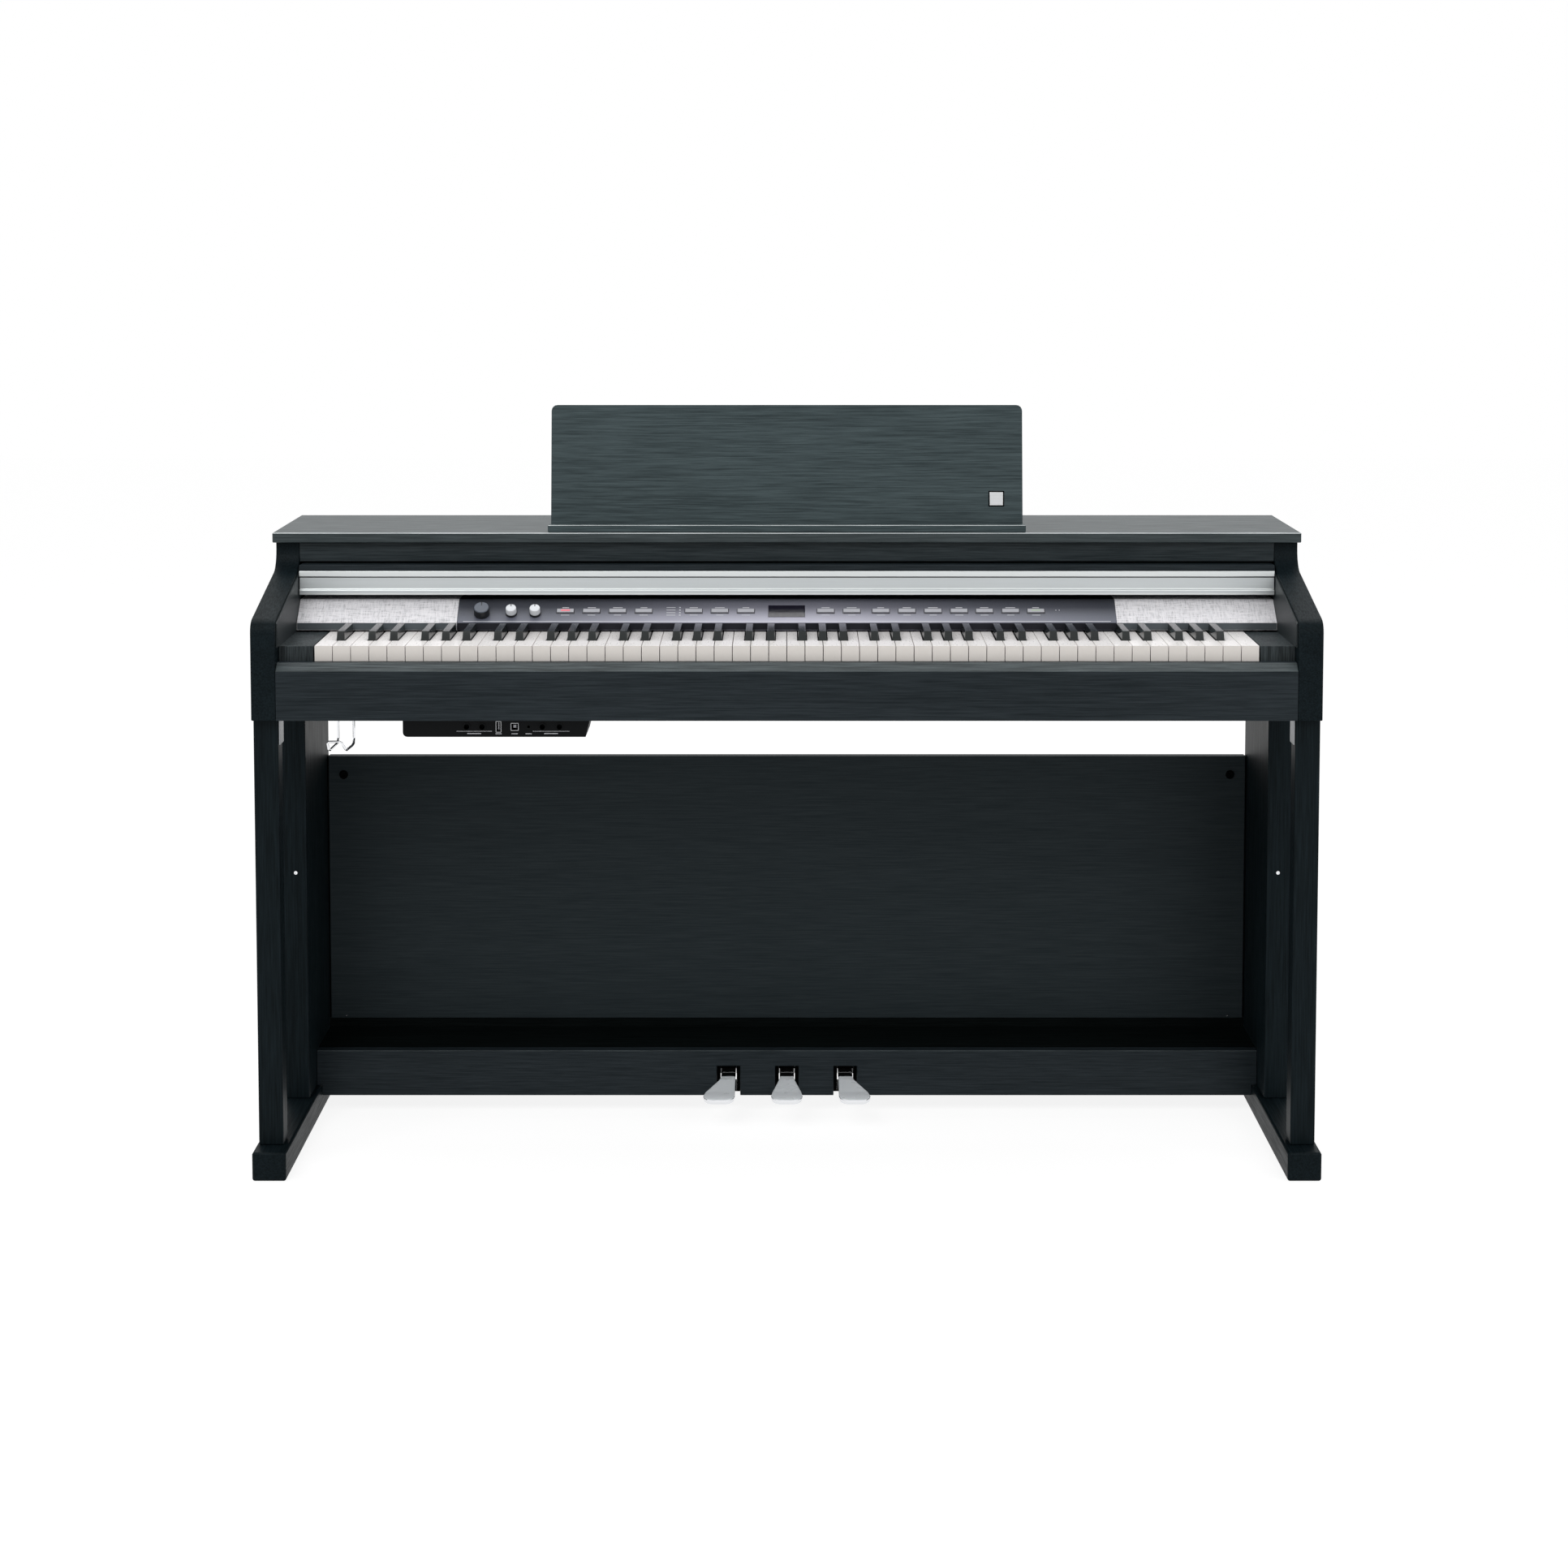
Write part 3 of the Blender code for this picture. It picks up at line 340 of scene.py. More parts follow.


# Wood stains and painted light: the colour of the pores and of the wood between them
# past one dark stain, the parts differ by painted light and shade: darker for the arms, posts,
# side boards, feet and pedal housing, and lighter for the lid and the music board
STAIN_AND_LIGHT = {
    "plain": ((0.0060, 0.0100, 0.0125), (0.0180, 0.0245, 0.0290)),
    "shade": ((0.0020, 0.0042, 0.0052), (0.0070, 0.0122, 0.0150)),
    "header": ((0.0100, 0.0155, 0.0180), (0.0300, 0.0390, 0.0430)),
    "board": ((0.0170, 0.0240, 0.0275), (0.0250, 0.0335, 0.0375)),
    "housing": ((0.0010, 0.0020, 0.0020), (0.0040, 0.0060, 0.0060)),
    "lid": ((0.0200, 0.0280, 0.0300), (0.0480, 0.0620, 0.0660)),
    "rest": ((0.0230, 0.0340, 0.0370), (0.0560, 0.0780, 0.0830)),
    "block": ((0.0040, 0.0060, 0.0070), (0.0500, 0.0620, 0.0660)),
    "light": ((0.0140, 0.0200, 0.0220), (0.0600, 0.0760, 0.0800)),
    "painted_highlight": ((0.3000, 0.3300, 0.3400), (0.5600, 0.5900, 0.6000)),
}
MATERIALS = {
    # Wood, with the grain along X, Y or Z
    "wood_x": wood("dark_wood_x", STAIN_AND_LIGHT["plain"], "X", specular=0.12),
    "wood_y": wood("dark_wood_y", STAIN_AND_LIGHT["shade"], "Y", specular=0.05),
    "wood_z": wood("dark_wood_z", STAIN_AND_LIGHT["shade"], "Z", specular=0.06),
    "header": wood("header_wood", STAIN_AND_LIGHT["header"], specular=0.12),
    "board": wood("dark_board", STAIN_AND_LIGHT["board"], roughness=0.5, relief=0.10, specular=0.08),
    "housing": wood("shadow_board", STAIN_AND_LIGHT["housing"], roughness=0.6, relief=0.1, specular=0.03),
    "lid": wood("lid_wood", STAIN_AND_LIGHT["lid"], roughness=0.40, specular=0.22),
    "rest": wood("rest_wood", STAIN_AND_LIGHT["rest"], roughness=0.45, relief=0.35, specular=0.12),
    "block": wood("end_grain", STAIN_AND_LIGHT["block"], "Z", roughness=0.4, relief=0.5, specular=0.12),
    # painted highlights on rounded front edges: a lighter grain, and a brighter line
    "highlight_wood": wood("painted_highlight_grain", STAIN_AND_LIGHT["light"], roughness=0.40, relief=0.3, specular=0.2),
    "edge": wood("painted_edge_highlight", STAIN_AND_LIGHT["painted_highlight"], roughness=0.30, relief=0.05, specular=0.5),
    # Plastic and paint
    "plastic": moulded("black_plastic", (0.0030, 0.0038, 0.0045), specular=0.10),
    # black, also used as painted shade in the back board's slits, the pedal slots and the pedals'
    # stems
    "black_and_shade": moulded("black_and_painted_shade", (0.0020, 0.0024, 0.0026), 0.8, specular=0.03),
    "cheek": moulded("cheek_plastic", (0.018, 0.023, 0.025), 0.4, specular=0.15),
    # painted shade: the darker upright lips under the speaker cloth and under the panel
    "lip": moulded("lip_grey", (0.090, 0.105, 0.115), 0.8, 500, 0.3, specular=0.1),
    "panel_lip": moulded("lip_slate", (0.012, 0.013, 0.018), 0.5, specular=0.15),
    "lens": moulded("smoked_lens", (0.007, 0.006, 0.014), 0.12, 300, 0.01, specular=0.5),
    "button": moulded("button_grey", (0.42, 0.425, 0.46), 0.42),
    "mark": moulded("printed_mark", (0.62, 0.63, 0.66), 0.6),
    "knob_side": moulded("knob_side", (0.010, 0.011, 0.014), 0.38),
    "knob_cap": moulded("knob_cap", (0.075, 0.088, 0.115), 0.32),
    "small_cap": moulded("small_knob_cap", (0.72, 0.74, 0.77), 0.34),
    "speaker": moulded("speaker_black", (0.02, 0.02, 0.02), 0.6),
    "circuit": moulded("circuit_green", (0.01, 0.10, 0.04), 0.45),
    "panel": panel_material(),
    # Keys
    "white_key": key_material("white_key", (0.96, 0.93, 0.915), 0.28, coat=0.2),
    # painted shade: the white keys' front faces, darker and warmer than their tops
    "key_front_shade": key_material("key_front_shade", (0.74, 0.70, 0.66), 0.34, specular=0.4),
    "black_key": key_material("black_key", (0.005, 0.008, 0.008), 0.20, specular=0.4),
    # Metal
    "rail": brushed("brushed_aluminium", (0.66, 0.69, 0.69), 0.34),
    # painted shade: the darker grey of the rail's recess and groove
    "rail_shade_grey": brushed("aluminium_painted_shade", (0.52, 0.55, 0.56), 0.42),
    "steel": brushed("zinc_steel", (0.50, 0.51, 0.52), 0.36),
    "dark_steel": brushed("dark_steel", (0.30, 0.31, 0.32), 0.4),
    "chrome": polished("chrome", (0.80, 0.81, 0.83), 0.08),
    # painted reflection: the pedals' pale, nearly white tone, with little metal
    "pedal": painted_plating("pedal_painted_reflection", (0.90, 0.94, 0.97), 0.25, 0.12),
    # Lights and cloth
    "red": glowing("red_light", (0.75, 0.16, 0.20), 0.35),
    "green": glowing("green_light", (0.38, 0.46, 0.36), 0.10),
    "led": glowing("led_light", (0.55, 0.56, 0.60), 0.15),
    "cloth": cloth_material(),
}


# Geometry building blocks

FLAT_AREA = 7e-4                    # square metres; larger faces are flat and keep one normal
MERGE_DISTANCE = 1e-6
COPLANAR = math.radians(0.5)        # triangles that meet flatter than this are one face
SHARP_EDGE = math.radians(25)       # edges sharper than this are rounded
CLEARANCE = 0.00005                 # between a small piece and the face that it stands on


def add_object(name, bm, materials, body, smooth_angle=20.0):
    """Makes a piece that rides on a body, with smooth shading on small faces only."""
    mesh = bpy.data.meshes.new(name)
    bm.to_mesh(mesh)
    bm.free()
    for key in materials:
        mesh.materials.append(MATERIALS[key])
    obj = bpy.data.objects.new(name, mesh)
    bpy.context.scene.collection.objects.link(obj)
    mesh.shade_smooth()
    mesh.set_sharp_from_angle(angle=math.radians(smooth_angle))
    for face in mesh.polygons:
        if face.area > FLAT_AREA:
            face.use_smooth = False
    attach(obj, body)
    return obj


def set_material(node, key):
    data = bpy.data.objects[node].data
    data.materials.clear()
    data.materials.append(MATERIALS[key])


def rounded(node, key, width, segments=2):
    """A copy of a CAD node with its edges rounded, which stands for the node."""
    source = bpy.data.objects[node]
    bm = bmesh.new()
    bm.from_mesh(source.data)
    bm.transform(source.matrix_world)
    bmesh.ops.remove_doubles(bm, verts=bm.verts, dist=MERGE_DISTANCE)
    bmesh.ops.dissolve_limit(bm, angle_limit=COPLANAR, verts=bm.verts, edges=bm.edges)
    edges = [edge for edge in bm.edges
             if len(edge.link_faces) == 2 and edge.calc_face_angle() > SHARP_EDGE]
    bmesh.ops.bevel(bm, geom=edges, offset=width, segments=segments, profile=0.5,
                    affect="EDGES", clamp_overlap=True)
    obj = add_object(f"{node}_finish", bm, [key], BODY_OF[node])
    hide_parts(node)
    return obj


def second_finish(obj, key, chosen):
    """Gives the faces that the function chosen picks another finish."""
    obj.data.materials.append(MATERIALS[key])
    index = len(obj.data.materials) - 1
    for face in obj.data.polygons:
        if chosen(face):
            face.material_index = index


def paint_edge_highlight(obj, key):
    """A second finish on the rounded front edge, which looks both forward and up: a painted
    highlight.
    """
    lean = 0.25
    second_finish(obj, key, lambda face: face.normal.y < -lean and face.normal.z > lean)


def add_block(bm, centre, size, turn=NO_TURN):
    matrix = Matrix.Translation(centre) @ turn @ Matrix.Diagonal((*size, 1))
    return bmesh.ops.create_cube(bm, size=1.0, matrix=matrix)


def blocks(name, rows, key, body, edge=0.0, turn=NO_TURN):
    """Small blocks, each a (centre, size) row, as one piece with softened edges."""
    bm = bmesh.new()
    for centre, size in rows:
        add_block(bm, centre, size, turn)
    if edge:
        bmesh.ops.bevel(bm, geom=list(bm.edges), offset=edge, segments=2, profile=0.5,
                        affect="EDGES")
    obj = add_object(name, bm, [key], body)
    return obj


def facing(axis):
    """The turn that takes Z to the axis."""
    return Vector((0, 0, 1)).rotation_difference(axis).to_matrix().to_4x4()


def add_turned(bm, matrix, bands, segments=48, closed=False):
    """Turns (r, z, material index) points about the local Z axis.

    The first and last point lie on the axis, or closed joins the last one to the first.
    """
    turns = [2 * math.pi * k / segments for k in range(segments)]
    rings = []
    for r, z, _ in bands:
        points = [(r * math.cos(a), r * math.sin(a), z) for a in turns] if r else [(0, 0, z)]
        rings.append([bm.verts.new(matrix @ Vector(point)) for point in points])
    following = rings[1:] + rings[:1] if closed else rings[1:]
    for low, high, (_, _, index) in zip(rings, following, bands):
        for k in range(segments):
            n = (k + 1) % segments
            around = [ring[j % len(ring)] for ring, j in ((low, k), (low, n), (high, n), (high, k))]
            face = bm.faces.new(list(dict.fromkeys(around)))
            face.material_index = index


# Camera, room and lamps

def make_camera():
    data = bpy.data.cameras.new("camera")
    data.sensor_width = SENSOR
    data.lens = SENSOR * FOCAL_PX / IMAGE
    data.shift_x = (IMAGE / 2 - CENTRE_X_PX) / IMAGE
    data.shift_y = (PRINCIPAL_Y_PX - IMAGE / 2) / IMAGE
    camera = bpy.data.objects.new("camera", data)
    camera.location = CAMERA_PLACE
    camera.rotation_euler = (math.pi / 2 - PITCH, 0, 0)
    bpy.context.scene.collection.objects.link(camera)
    bpy.context.scene.camera = camera


def seen_directly(tree):
    """1 for camera, glossy and transmission rays, otherwise 0."""
    path = tree.nodes.new("ShaderNodeLightPath")
    either = math_node(tree, "MAXIMUM", path.outputs["Is Camera Ray"],
                       path.outputs["Is Glossy Ray"])
    return math_node(tree, "MAXIMUM", either, path.outputs["Is Transmission Ray"])


def mix_shaders(tree, factor, first, second, output):
    """Mixes two shaders into an output's Surface."""
    mix = tree.nodes.new("ShaderNodeMixShader")
    tree.links.new(factor, mix.inputs[0])
    tree.links.new(first.outputs[0], mix.inputs[1])
    tree.links.new(second.outputs[0], mix.inputs[2])
    tree.links.new(mix.outputs[0], tree.nodes[output].inputs["Surface"])


def make_world():
    """Soft light from all sides, seen as plain white."""
    world = bpy.data.worlds.new("studio")
    bpy.context.scene.world = world
    world.use_nodes = True
    tree = world.node_tree
    light = tree.nodes["Background"]
    white = tree.nodes.new("ShaderNodeBackground")
    for background, strength in ((light, WORLD_LIGHT), (white, 1.0)):
        background.inputs["Color"].default_value = (1.0, 1.0, 1.0, 1.0)
        background.inputs["Strength"].default_value = strength
    mix_shaders(tree, seen_directly(tree), light, white, "World Output")


def make_floor():
    """A pale floor that keeps the shadow and otherwise looks white."""
    bm = bmesh.new()
    bmesh.ops.create_grid(bm, x_segments=2, y_segments=2, size=FLOOR_HALF)
    mesh = bpy.data.meshes.new("floor")
    bm.to_mesh(mesh)
    bm.free()
    floor = bpy.data.objects.new("floor", mesh)
    bpy.context.scene.collection.objects.link(floor)
    made, tree, shader = new_material("pale_floor", (FLOOR_GREY,) * 3, 0.9, specular=0.1)
    glow = tree.nodes.new("ShaderNodeEmission")
    glow.inputs["Strength"].default_value = FLOOR_GLOW
    share = math_node(tree, "MULTIPLY", seen_directly(tree), FLOOR_GLOW_SHARE)
    mix_shaders(tree, share, shader, glow, "Material Output")
    mesh.materials.append(made)


def make_lamps():
    for name, place, target, size, power in LAMPS:
        data = bpy.data.lights.new(name, "AREA")
        data.shape = "RECTANGLE"
        data.size, data.size_y = size
        data.energy = power
        lamp = bpy.data.objects.new(name, data)
        lamp.location = place
        direction = Vector(target) - Vector(place)
        lamp.rotation_euler = direction.to_track_quat("-Z", "Y").to_euler()
        bpy.context.scene.collection.objects.link(lamp)


# Case and stand

# CAD nodes that stay as they are, and their finish
CARRIED_OVER = {
    "pedal_housing": "housing", "key_bed": "board", "body_back": "board",
    "control_panel": "panel", "display_lens": "lens", "jack_box": "plastic",
    "mains_inlet": "plastic", "key_chassis": "steel", "pedal_frame": "steel",
    "cover_shaft": "steel", "circuit_board": "circuit", "headphone_hook": "chrome",
}
END_PLAY = 0.001            # what a strip is shorter than the face that it lies on
RAIL_RECESS = 0.0025        # depth of the recess in the cover rail, as in the CAD
RAIL_SHEET = 0.0002
LIP_THICK, LIP_HEIGHT = 0.0003, 0.0092
LIP_PROUD = 0.0002          # from the CAD face to the middle of the lip
LIP_DROP = 0.0050           # from the slope's front edge down to the middle of the lip
LIP_EDGE = 0.0001
# dark strips of painted shade in the slits beside the back board
SLIT_SHADE_DEPTH, SLIT_SHADE_PLAY = 0.012, 0.002
SLIT_SHADE_SHARE = 0.9            # of the slit's width

# Strips of painted shade on the cover rail: from the rail's top down to the middle of each, and its
# height
RECESS_SHADE_STRIP, STEP_SHADE_STRIP, GROOVE_SHADE_STRIP = (0.0163, 0.0135), (0.0088, 0.0009), (0.0283, 0.0032)


def finish_case():
    """Rounded copies of the boards and brackets, and finishes for the nodes that stay."""
    for side in ("left", "right"):
        rounded(f"{side}_arm", "wood_y", 0.0012)
        rounded(f"{side}_post", "wood_z", 0.0015)
        rounded(f"{side}_side_board", "wood_z", 0.0012)
        rounded(f"{side}_foot", "wood_y", 0.0010)
        rounded(f"{side}_key_block", "block", 0.0010)
        rounded(f"{side}_bracket", "dark_steel", 0.0004)
        set_material(f"{side}_cheek", "cheek")
        set_material(f"{side}_grille", "cloth")
        set_material(f"{side}_speaker", "speaker")
    # painted highlights on the front edges of the lid, the key slip, the pedal board and the music
    # ledge
    paint_edge_highlight(rounded("top_lid", "lid", 0.0016, 3), "edge")
    paint_edge_highlight(rounded("key_slip", "wood_x", 0.0008), "highlight_wood")
    rounded("header_board", "header", 0.0006)
    rounded("back_board", "board", 0.0010)
    paint_edge_highlight(rounded("pedal_board", "wood_x", 0.0008), "highlight_wood")
    rounded("cover_board", "wood_x", 0.0008)
    rounded("cover_rail", "rail", 0.0005)
    rounded("music_board", "rest", 0.0012)
    paint_edge_highlight(rounded("music_ledge", "rest", 0.0010), "edge")
    for node, key in CARRIED_OVER.items():
        set_material(node, key)


def finish_rail():
    """Painted shade on the rail: its darker recess, its step line and the groove in its lower
    strip.
    """
    low, high = corners("cover_rail")
    recess_y = low.y + RAIL_RECESS

    def strip(face_y, drop, height):
        centre = Vector((0, face_y - RAIL_SHEET / 2, high.z - drop))
        return centre, (high.x - low.x - END_PLAY, RAIL_SHEET, height)

    rows = [strip(recess_y, *RECESS_SHADE_STRIP), strip(low.y, *GROOVE_SHADE_STRIP)]
    blocks("rail_recess_shade", rows, "rail_shade_grey", "cover")
    # painted shade: the step line, in the dark cheek plastic
    blocks("rail_step_shade", [strip(recess_y, *STEP_SHADE_STRIP)], "cheek", "cover")


def finish_lips():
    """The upright lips under the speaker cloth and under the panel, painted darker than the faces
    above them as shade.
    """
    low, high = corners("right_grille")
    middle_z = PANEL_HIGH.z - PANEL_RISE - LIP_DROP
    size = (high.x - low.x - END_PLAY, LIP_THICK, LIP_HEIGHT)
    rows = [(Vector((sign * (low.x + high.x) / 2, low.y - LIP_PROUD, middle_z)), size)
            for sign in SIDES]
    blocks("grille_lips", rows, "lip", "case", LIP_EDGE)
    size = (2 * PANEL_HIGH.x - END_PLAY, LIP_THICK, LIP_HEIGHT)
    rows = [(Vector((0, PANEL_LOW.y - LIP_PROUD, middle_z)), size)]
    blocks("panel_lip", rows, "panel_lip", "case", LIP_EDGE)


def finish_slit_shade():
    """Dark strips of painted shade in the slits between the back board and the side boards."""
    low, high = corners("back_board")
    inner = corners("right_side_board")[0].x
    middle = (low + high) / 2
    size = ((inner - high.x) * SLIT_SHADE_SHARE, SLIT_SHADE_DEPTH, high.z - low.z - SLIT_SHADE_PLAY)
    rows = [(Vector((sign * (inner + high.x) / 2, middle.y, middle.z)), size) for sign in SIDES]
    blocks("back_board_slit_shade", rows, "black_and_shade", "case")


# Keys and pedals

KEY_FRONT_NORMAL = -0.9         # Y of the normal of a key's front face
PAD_EDGE_NORMAL = 0.6           # Z of the normal; the pad's top looks up more than this
PAD_END_Y = 0.0                 # behind this the stem's sides keep the pale painted reflection
STEM_DARK_Y = 0.066             # behind this the stem is painted dark, as shade
RIDGE_Y, RIDGE_Z = 0.0835, 0.0549
RIDGE_SIZE = (0.0180, 0.0012, 0.0006)

# The dark frame of painted shade in a pedal's slot: half width of its opening and of the whole,
# then heights
SLOT_SHADE_Y, SLOT_SHADE_DEPTH = 0.0968, 0.0024
SLOT_SHADE_INNER, SLOT_SHADE_OUTER = 0.0112, 0.0195
SLOT_SHADE_LOW, SLOT_SHADE_UNDER, SLOT_SHADE_OVER, SLOT_SHADE_HIGH = 0.0245, 0.0410, 0.0572, 0.0710
SLOT_SHADE_PLAY = 0.0002


def finish_keys():
    """White keys with a front face painted darker and warmer as shade, and black keys."""
    for letter in KEY_LETTERS:
        keys = rounded(f"{letter}_keys", "white_key", 0.0007)
        second_finish(keys, "key_front_shade", lambda face: face.normal.y < KEY_FRONT_NORMAL)
    for letter in SHARP_LETTERS:
        rounded(f"{letter}_sharp_keys", "black_key", 0.0009)


def on_pad_edge(face):
    return face.normal.z < PAD_EDGE_NORMAL and face.center.y < PAD_END_Y


def on_dark_stem(face):
    return face.center.y > STEM_DARK_Y


def slot_shade_frame(name, x):
    """A dark frame of painted shade round the pedal's stem, which closes the rest of its slot."""
    side = (SLOT_SHADE_OUTER - SLOT_SHADE_INNER, SLOT_SHADE_DEPTH, SLOT_SHADE_HIGH - SLOT_SHADE_LOW)
    side_x = (SLOT_SHADE_INNER + SLOT_SHADE_OUTER) / 2
    rows = [(Vector((x + sign * side_x, SLOT_SHADE_Y, (SLOT_SHADE_LOW + SLOT_SHADE_HIGH) / 2)), side)
            for sign in SIDES]
    for low, high in ((SLOT_SHADE_OVER, SLOT_SHADE_HIGH), (SLOT_SHADE_LOW, SLOT_SHADE_UNDER)):
        size = (2 * SLOT_SHADE_INNER - SLOT_SHADE_PLAY, SLOT_SHADE_DEPTH, high - low)
        rows.append((Vector((x, SLOT_SHADE_Y, (low + high) / 2)), size))
    blocks(f"{name}_guard", rows, "black_and_shade", "case")


def finish_pedals():
    """Pedals with chrome edges and a ridge across the stem. The pad's pale tone is painted
    reflection, and the stem's back and the slot's dark frame are painted shade.
    """
    for name in PEDALS:
        pedal = rounded(name, "pedal", 0.0020, 3)
        second_finish(pedal, "chrome", on_pad_edge)
        second_finish(pedal, "black_and_shade", on_dark_stem)
        x = joint_place(f"{name}_press").x
        ridge = (Vector((x, RIDGE_Y, RIDGE_Z)), RIDGE_SIZE)
        blocks(f"{name}_ridge", [ridge], "chrome", name, 0.0001)
        slot_shade_frame(name, x)


# Control panel

BUTTON_UP, BUTTON_TOP = 0.0214, 0.0022      # up the slope, and height above it
BUTTON_X = (-0.297, -0.262, -0.227, -0.192, -0.125, -0.090, -0.055,
            0.052, 0.087, 0.126, 0.161, 0.196, 0.231, 0.265, 0.300, 0.334)
MARK_THICK, MARK_LIFT = 0.00016, 0.00004
MARK_EDGE, LIGHT_EDGE, WINDOW_EDGE = 0.00004, 0.00008, 0.00006
WINDOW_SIZE = (0.0120, 0.0030)
DASH_OVER, DASH_UNDER = 0.0068, 0.0072      # from a button's middle to its dashes
DASH_OVER_HEIGHT, DASH_UNDER_HEIGHT = 0.0013, 0.0008
DASH_WIDTH, DASH_STEP, DASH_UNDER_WIDTH = 0.009, 0.002, 0.014
LED_X = -0.1435
LED_UPS = (0.0141, 0.0187, 0.0237, 0.0285)
LED_SIZE = (0.0022, 0.0016)
LED_DASH_X = LED_X - 0.0120
LED_DASH_SIZE = (0.0120, 0.0009)
LINE_UP, LINE_HEIGHT, LINE_MARGIN = 0.0022, 0.0009, 0.016
DOT_X = (0.361, 0.3655)
DOT_UP, DOT_SIDE = BUTTON_UP + 0.002, 0.0012

# The dark strips of painted shade round a button: how far each side lies from the middle, and its
# width
GAP_UNDER, GAP_OVER, GAP_SIDE = (0.0040, 0.0010), (0.0039, 0.0006), (0.01185, 0.0005)
GAP_LENGTH, GAP_HEIGHT = 0.0242, 0.0070


def mark(x, up, width, height, base=0.0, thick=MARK_THICK):
    """A flat mark on the panel's slope, or on a face at the height base above it."""
    return on_slope(x, up, base + MARK_THICK / 2 + MARK_LIFT), (width, height, thick)


def finish_marks():
    """Plain dashes over and under each button and beside each light, and the front line."""
    marks = []
    for i, x in enumerate(BUTTON_X):
        width = DASH_WIDTH + DASH_STEP * (i % 3)
        width_under = DASH_UNDER_WIDTH - width / 3
        marks.append(mark(x, BUTTON_UP + DASH_OVER, width, DASH_OVER_HEIGHT))
        marks.append(mark(x, BUTTON_UP - DASH_UNDER, width_under, DASH_UNDER_HEIGHT))
    for up in LED_UPS:
        marks.append(mark(LED_DASH_X, up, *LED_DASH_SIZE))
    marks.append(mark(0, LINE_UP, 2 * PANEL_HIGH.x - LINE_MARGIN, LINE_HEIGHT))
    blocks("panel_marks", marks, "mark", "case", MARK_EDGE, SLOPE_TURN)


def finish_button_gap_shade():
    """Four thin dark strips on the panel round each button: painted shade of the gap round it."""
    rows = []
    for x in BUTTON_X:
        rows.append(mark(x, BUTTON_UP - GAP_UNDER[0], GAP_LENGTH, GAP_UNDER[1]))
        rows.append(mark(x, BUTTON_UP + GAP_OVER[0], GAP_LENGTH, GAP_OVER[1]))
        for sign in SIDES:
            rows.append(mark(x + sign * GAP_SIDE[0], BUTTON_UP, GAP_SIDE[1], GAP_HEIGHT))
    blocks("button_shades", rows, "knob_side", "case", MARK_EDGE, SLOPE_TURN)


def finish_controls():
    """Buttons with their lit windows, the marks on the panel, and its small lights."""
    for name in ("buttons_left", "buttons_middle", "buttons_right"):
        rounded(name, "button", 0.0004)
    for name, x, key, body in (("red_window", BUTTON_X[0], "red", "buttons_left"),
                               ("green_window", BUTTON_X[-1], "green", "buttons_right")):
        window = mark(x, BUTTON_UP, *WINDOW_SIZE, base=BUTTON_TOP)
        blocks(name, [window], key, body, WINDOW_EDGE, SLOPE_TURN)
    finish_marks()
    finish_button_gap_shade()
    proud = 2 * MARK_THICK
    leds = [mark(LED_X, up, *LED_SIZE, thick=proud) for up in LED_UPS]
    blocks("indicator_lights", leds, "led", "case", LIGHT_EDGE, SLOPE_TURN)
    dots = [mark(x, DOT_UP, DOT_SIDE, DOT_SIDE, thick=proud) for x in DOT_X]
    blocks("panel_dots", dots, "mark", "case", LIGHT_EDGE, SLOPE_TURN)


# Knobs

SHAFT_RADIUS, SHAFT_DEPTH = 0.003, 0.009
KNOB_FOOT = 0.0004              # clearance between the panel and a knob's skirt
VOLUME_RADIUS, VOLUME_TOP = 0.01065, 0.0128
SMALL_RADIUS, SMALL_TOP = 0.0077, 0.0118
POINTER_WIDTH, POINTER_HEIGHT, POINTER_LIFT = 0.0011, 0.0003, 0.0001
POINTER_LENGTH, POINTER_MIDDLE = 0.55, 0.60     # shares of the knob's radius


def knob(name, radius, top, skirt, cap, cap_key):
    """A turned knob with its shaft and a pointer, in place of the CAD knob.

    Skirt and cap are (share of the radius, height above the panel) points.
    """
    matrix = Matrix.Translation(joint_place(f"{name}_turn")) @ SLOPE_TURN
    bands = [(0, -SHAFT_DEPTH, 0), (SHAFT_RADIUS, -SHAFT_DEPTH, 0), (SHAFT_RADIUS, KNOB_FOOT, 0)]
    bands += [(radius * share, height, 0) for share, height in skirt]
    bands += [(radius * share, height, 1) for share, height in cap]
    bm = bmesh.new()
    add_turned(bm, matrix, bands + [(0, top, 1)])
    pointer_size = (POINTER_WIDTH, radius * POINTER_LENGTH, POINTER_HEIGHT)
    pointer = add_block(bm, Vector((0, 0, 0)), pointer_size)
    place = Matrix.Translation((0, radius * POINTER_MIDDLE, top + POINTER_LIFT))
    bmesh.ops.transform(bm, verts=pointer["verts"], matrix=matrix @ place)
    for face in {face for vert in pointer["verts"] for face in vert.link_faces}:
        face.material_index = 2
    keys = ["knob_side", cap_key, "knob_side"]
    obj = add_object(f"{name}_finish", bm, keys, name, smooth_angle=30.0)
    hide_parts(name)


def finish_knobs():
    top = VOLUME_TOP
    knob("volume_knob", VOLUME_RADIUS, top,
         [(0.97, KNOB_FOOT), (1.0, 0.0012), (0.985, top - 0.0016)],
         [(0.96, top - 0.0010), (0.90, top - 0.0003), (0.86, top), (0.80, top)], "knob_cap")
    top = SMALL_TOP
    for name in ("treble_knob", "bass_knob"):
        knob(name, SMALL_RADIUS, top,
             [(1.0, KNOB_FOOT), (1.0, 0.0030)],
             [(0.93, 0.0036), (0.91, top - 0.0012), (0.86, top - 0.0003), (0.78, top)], "small_cap")


# Bolts and screws

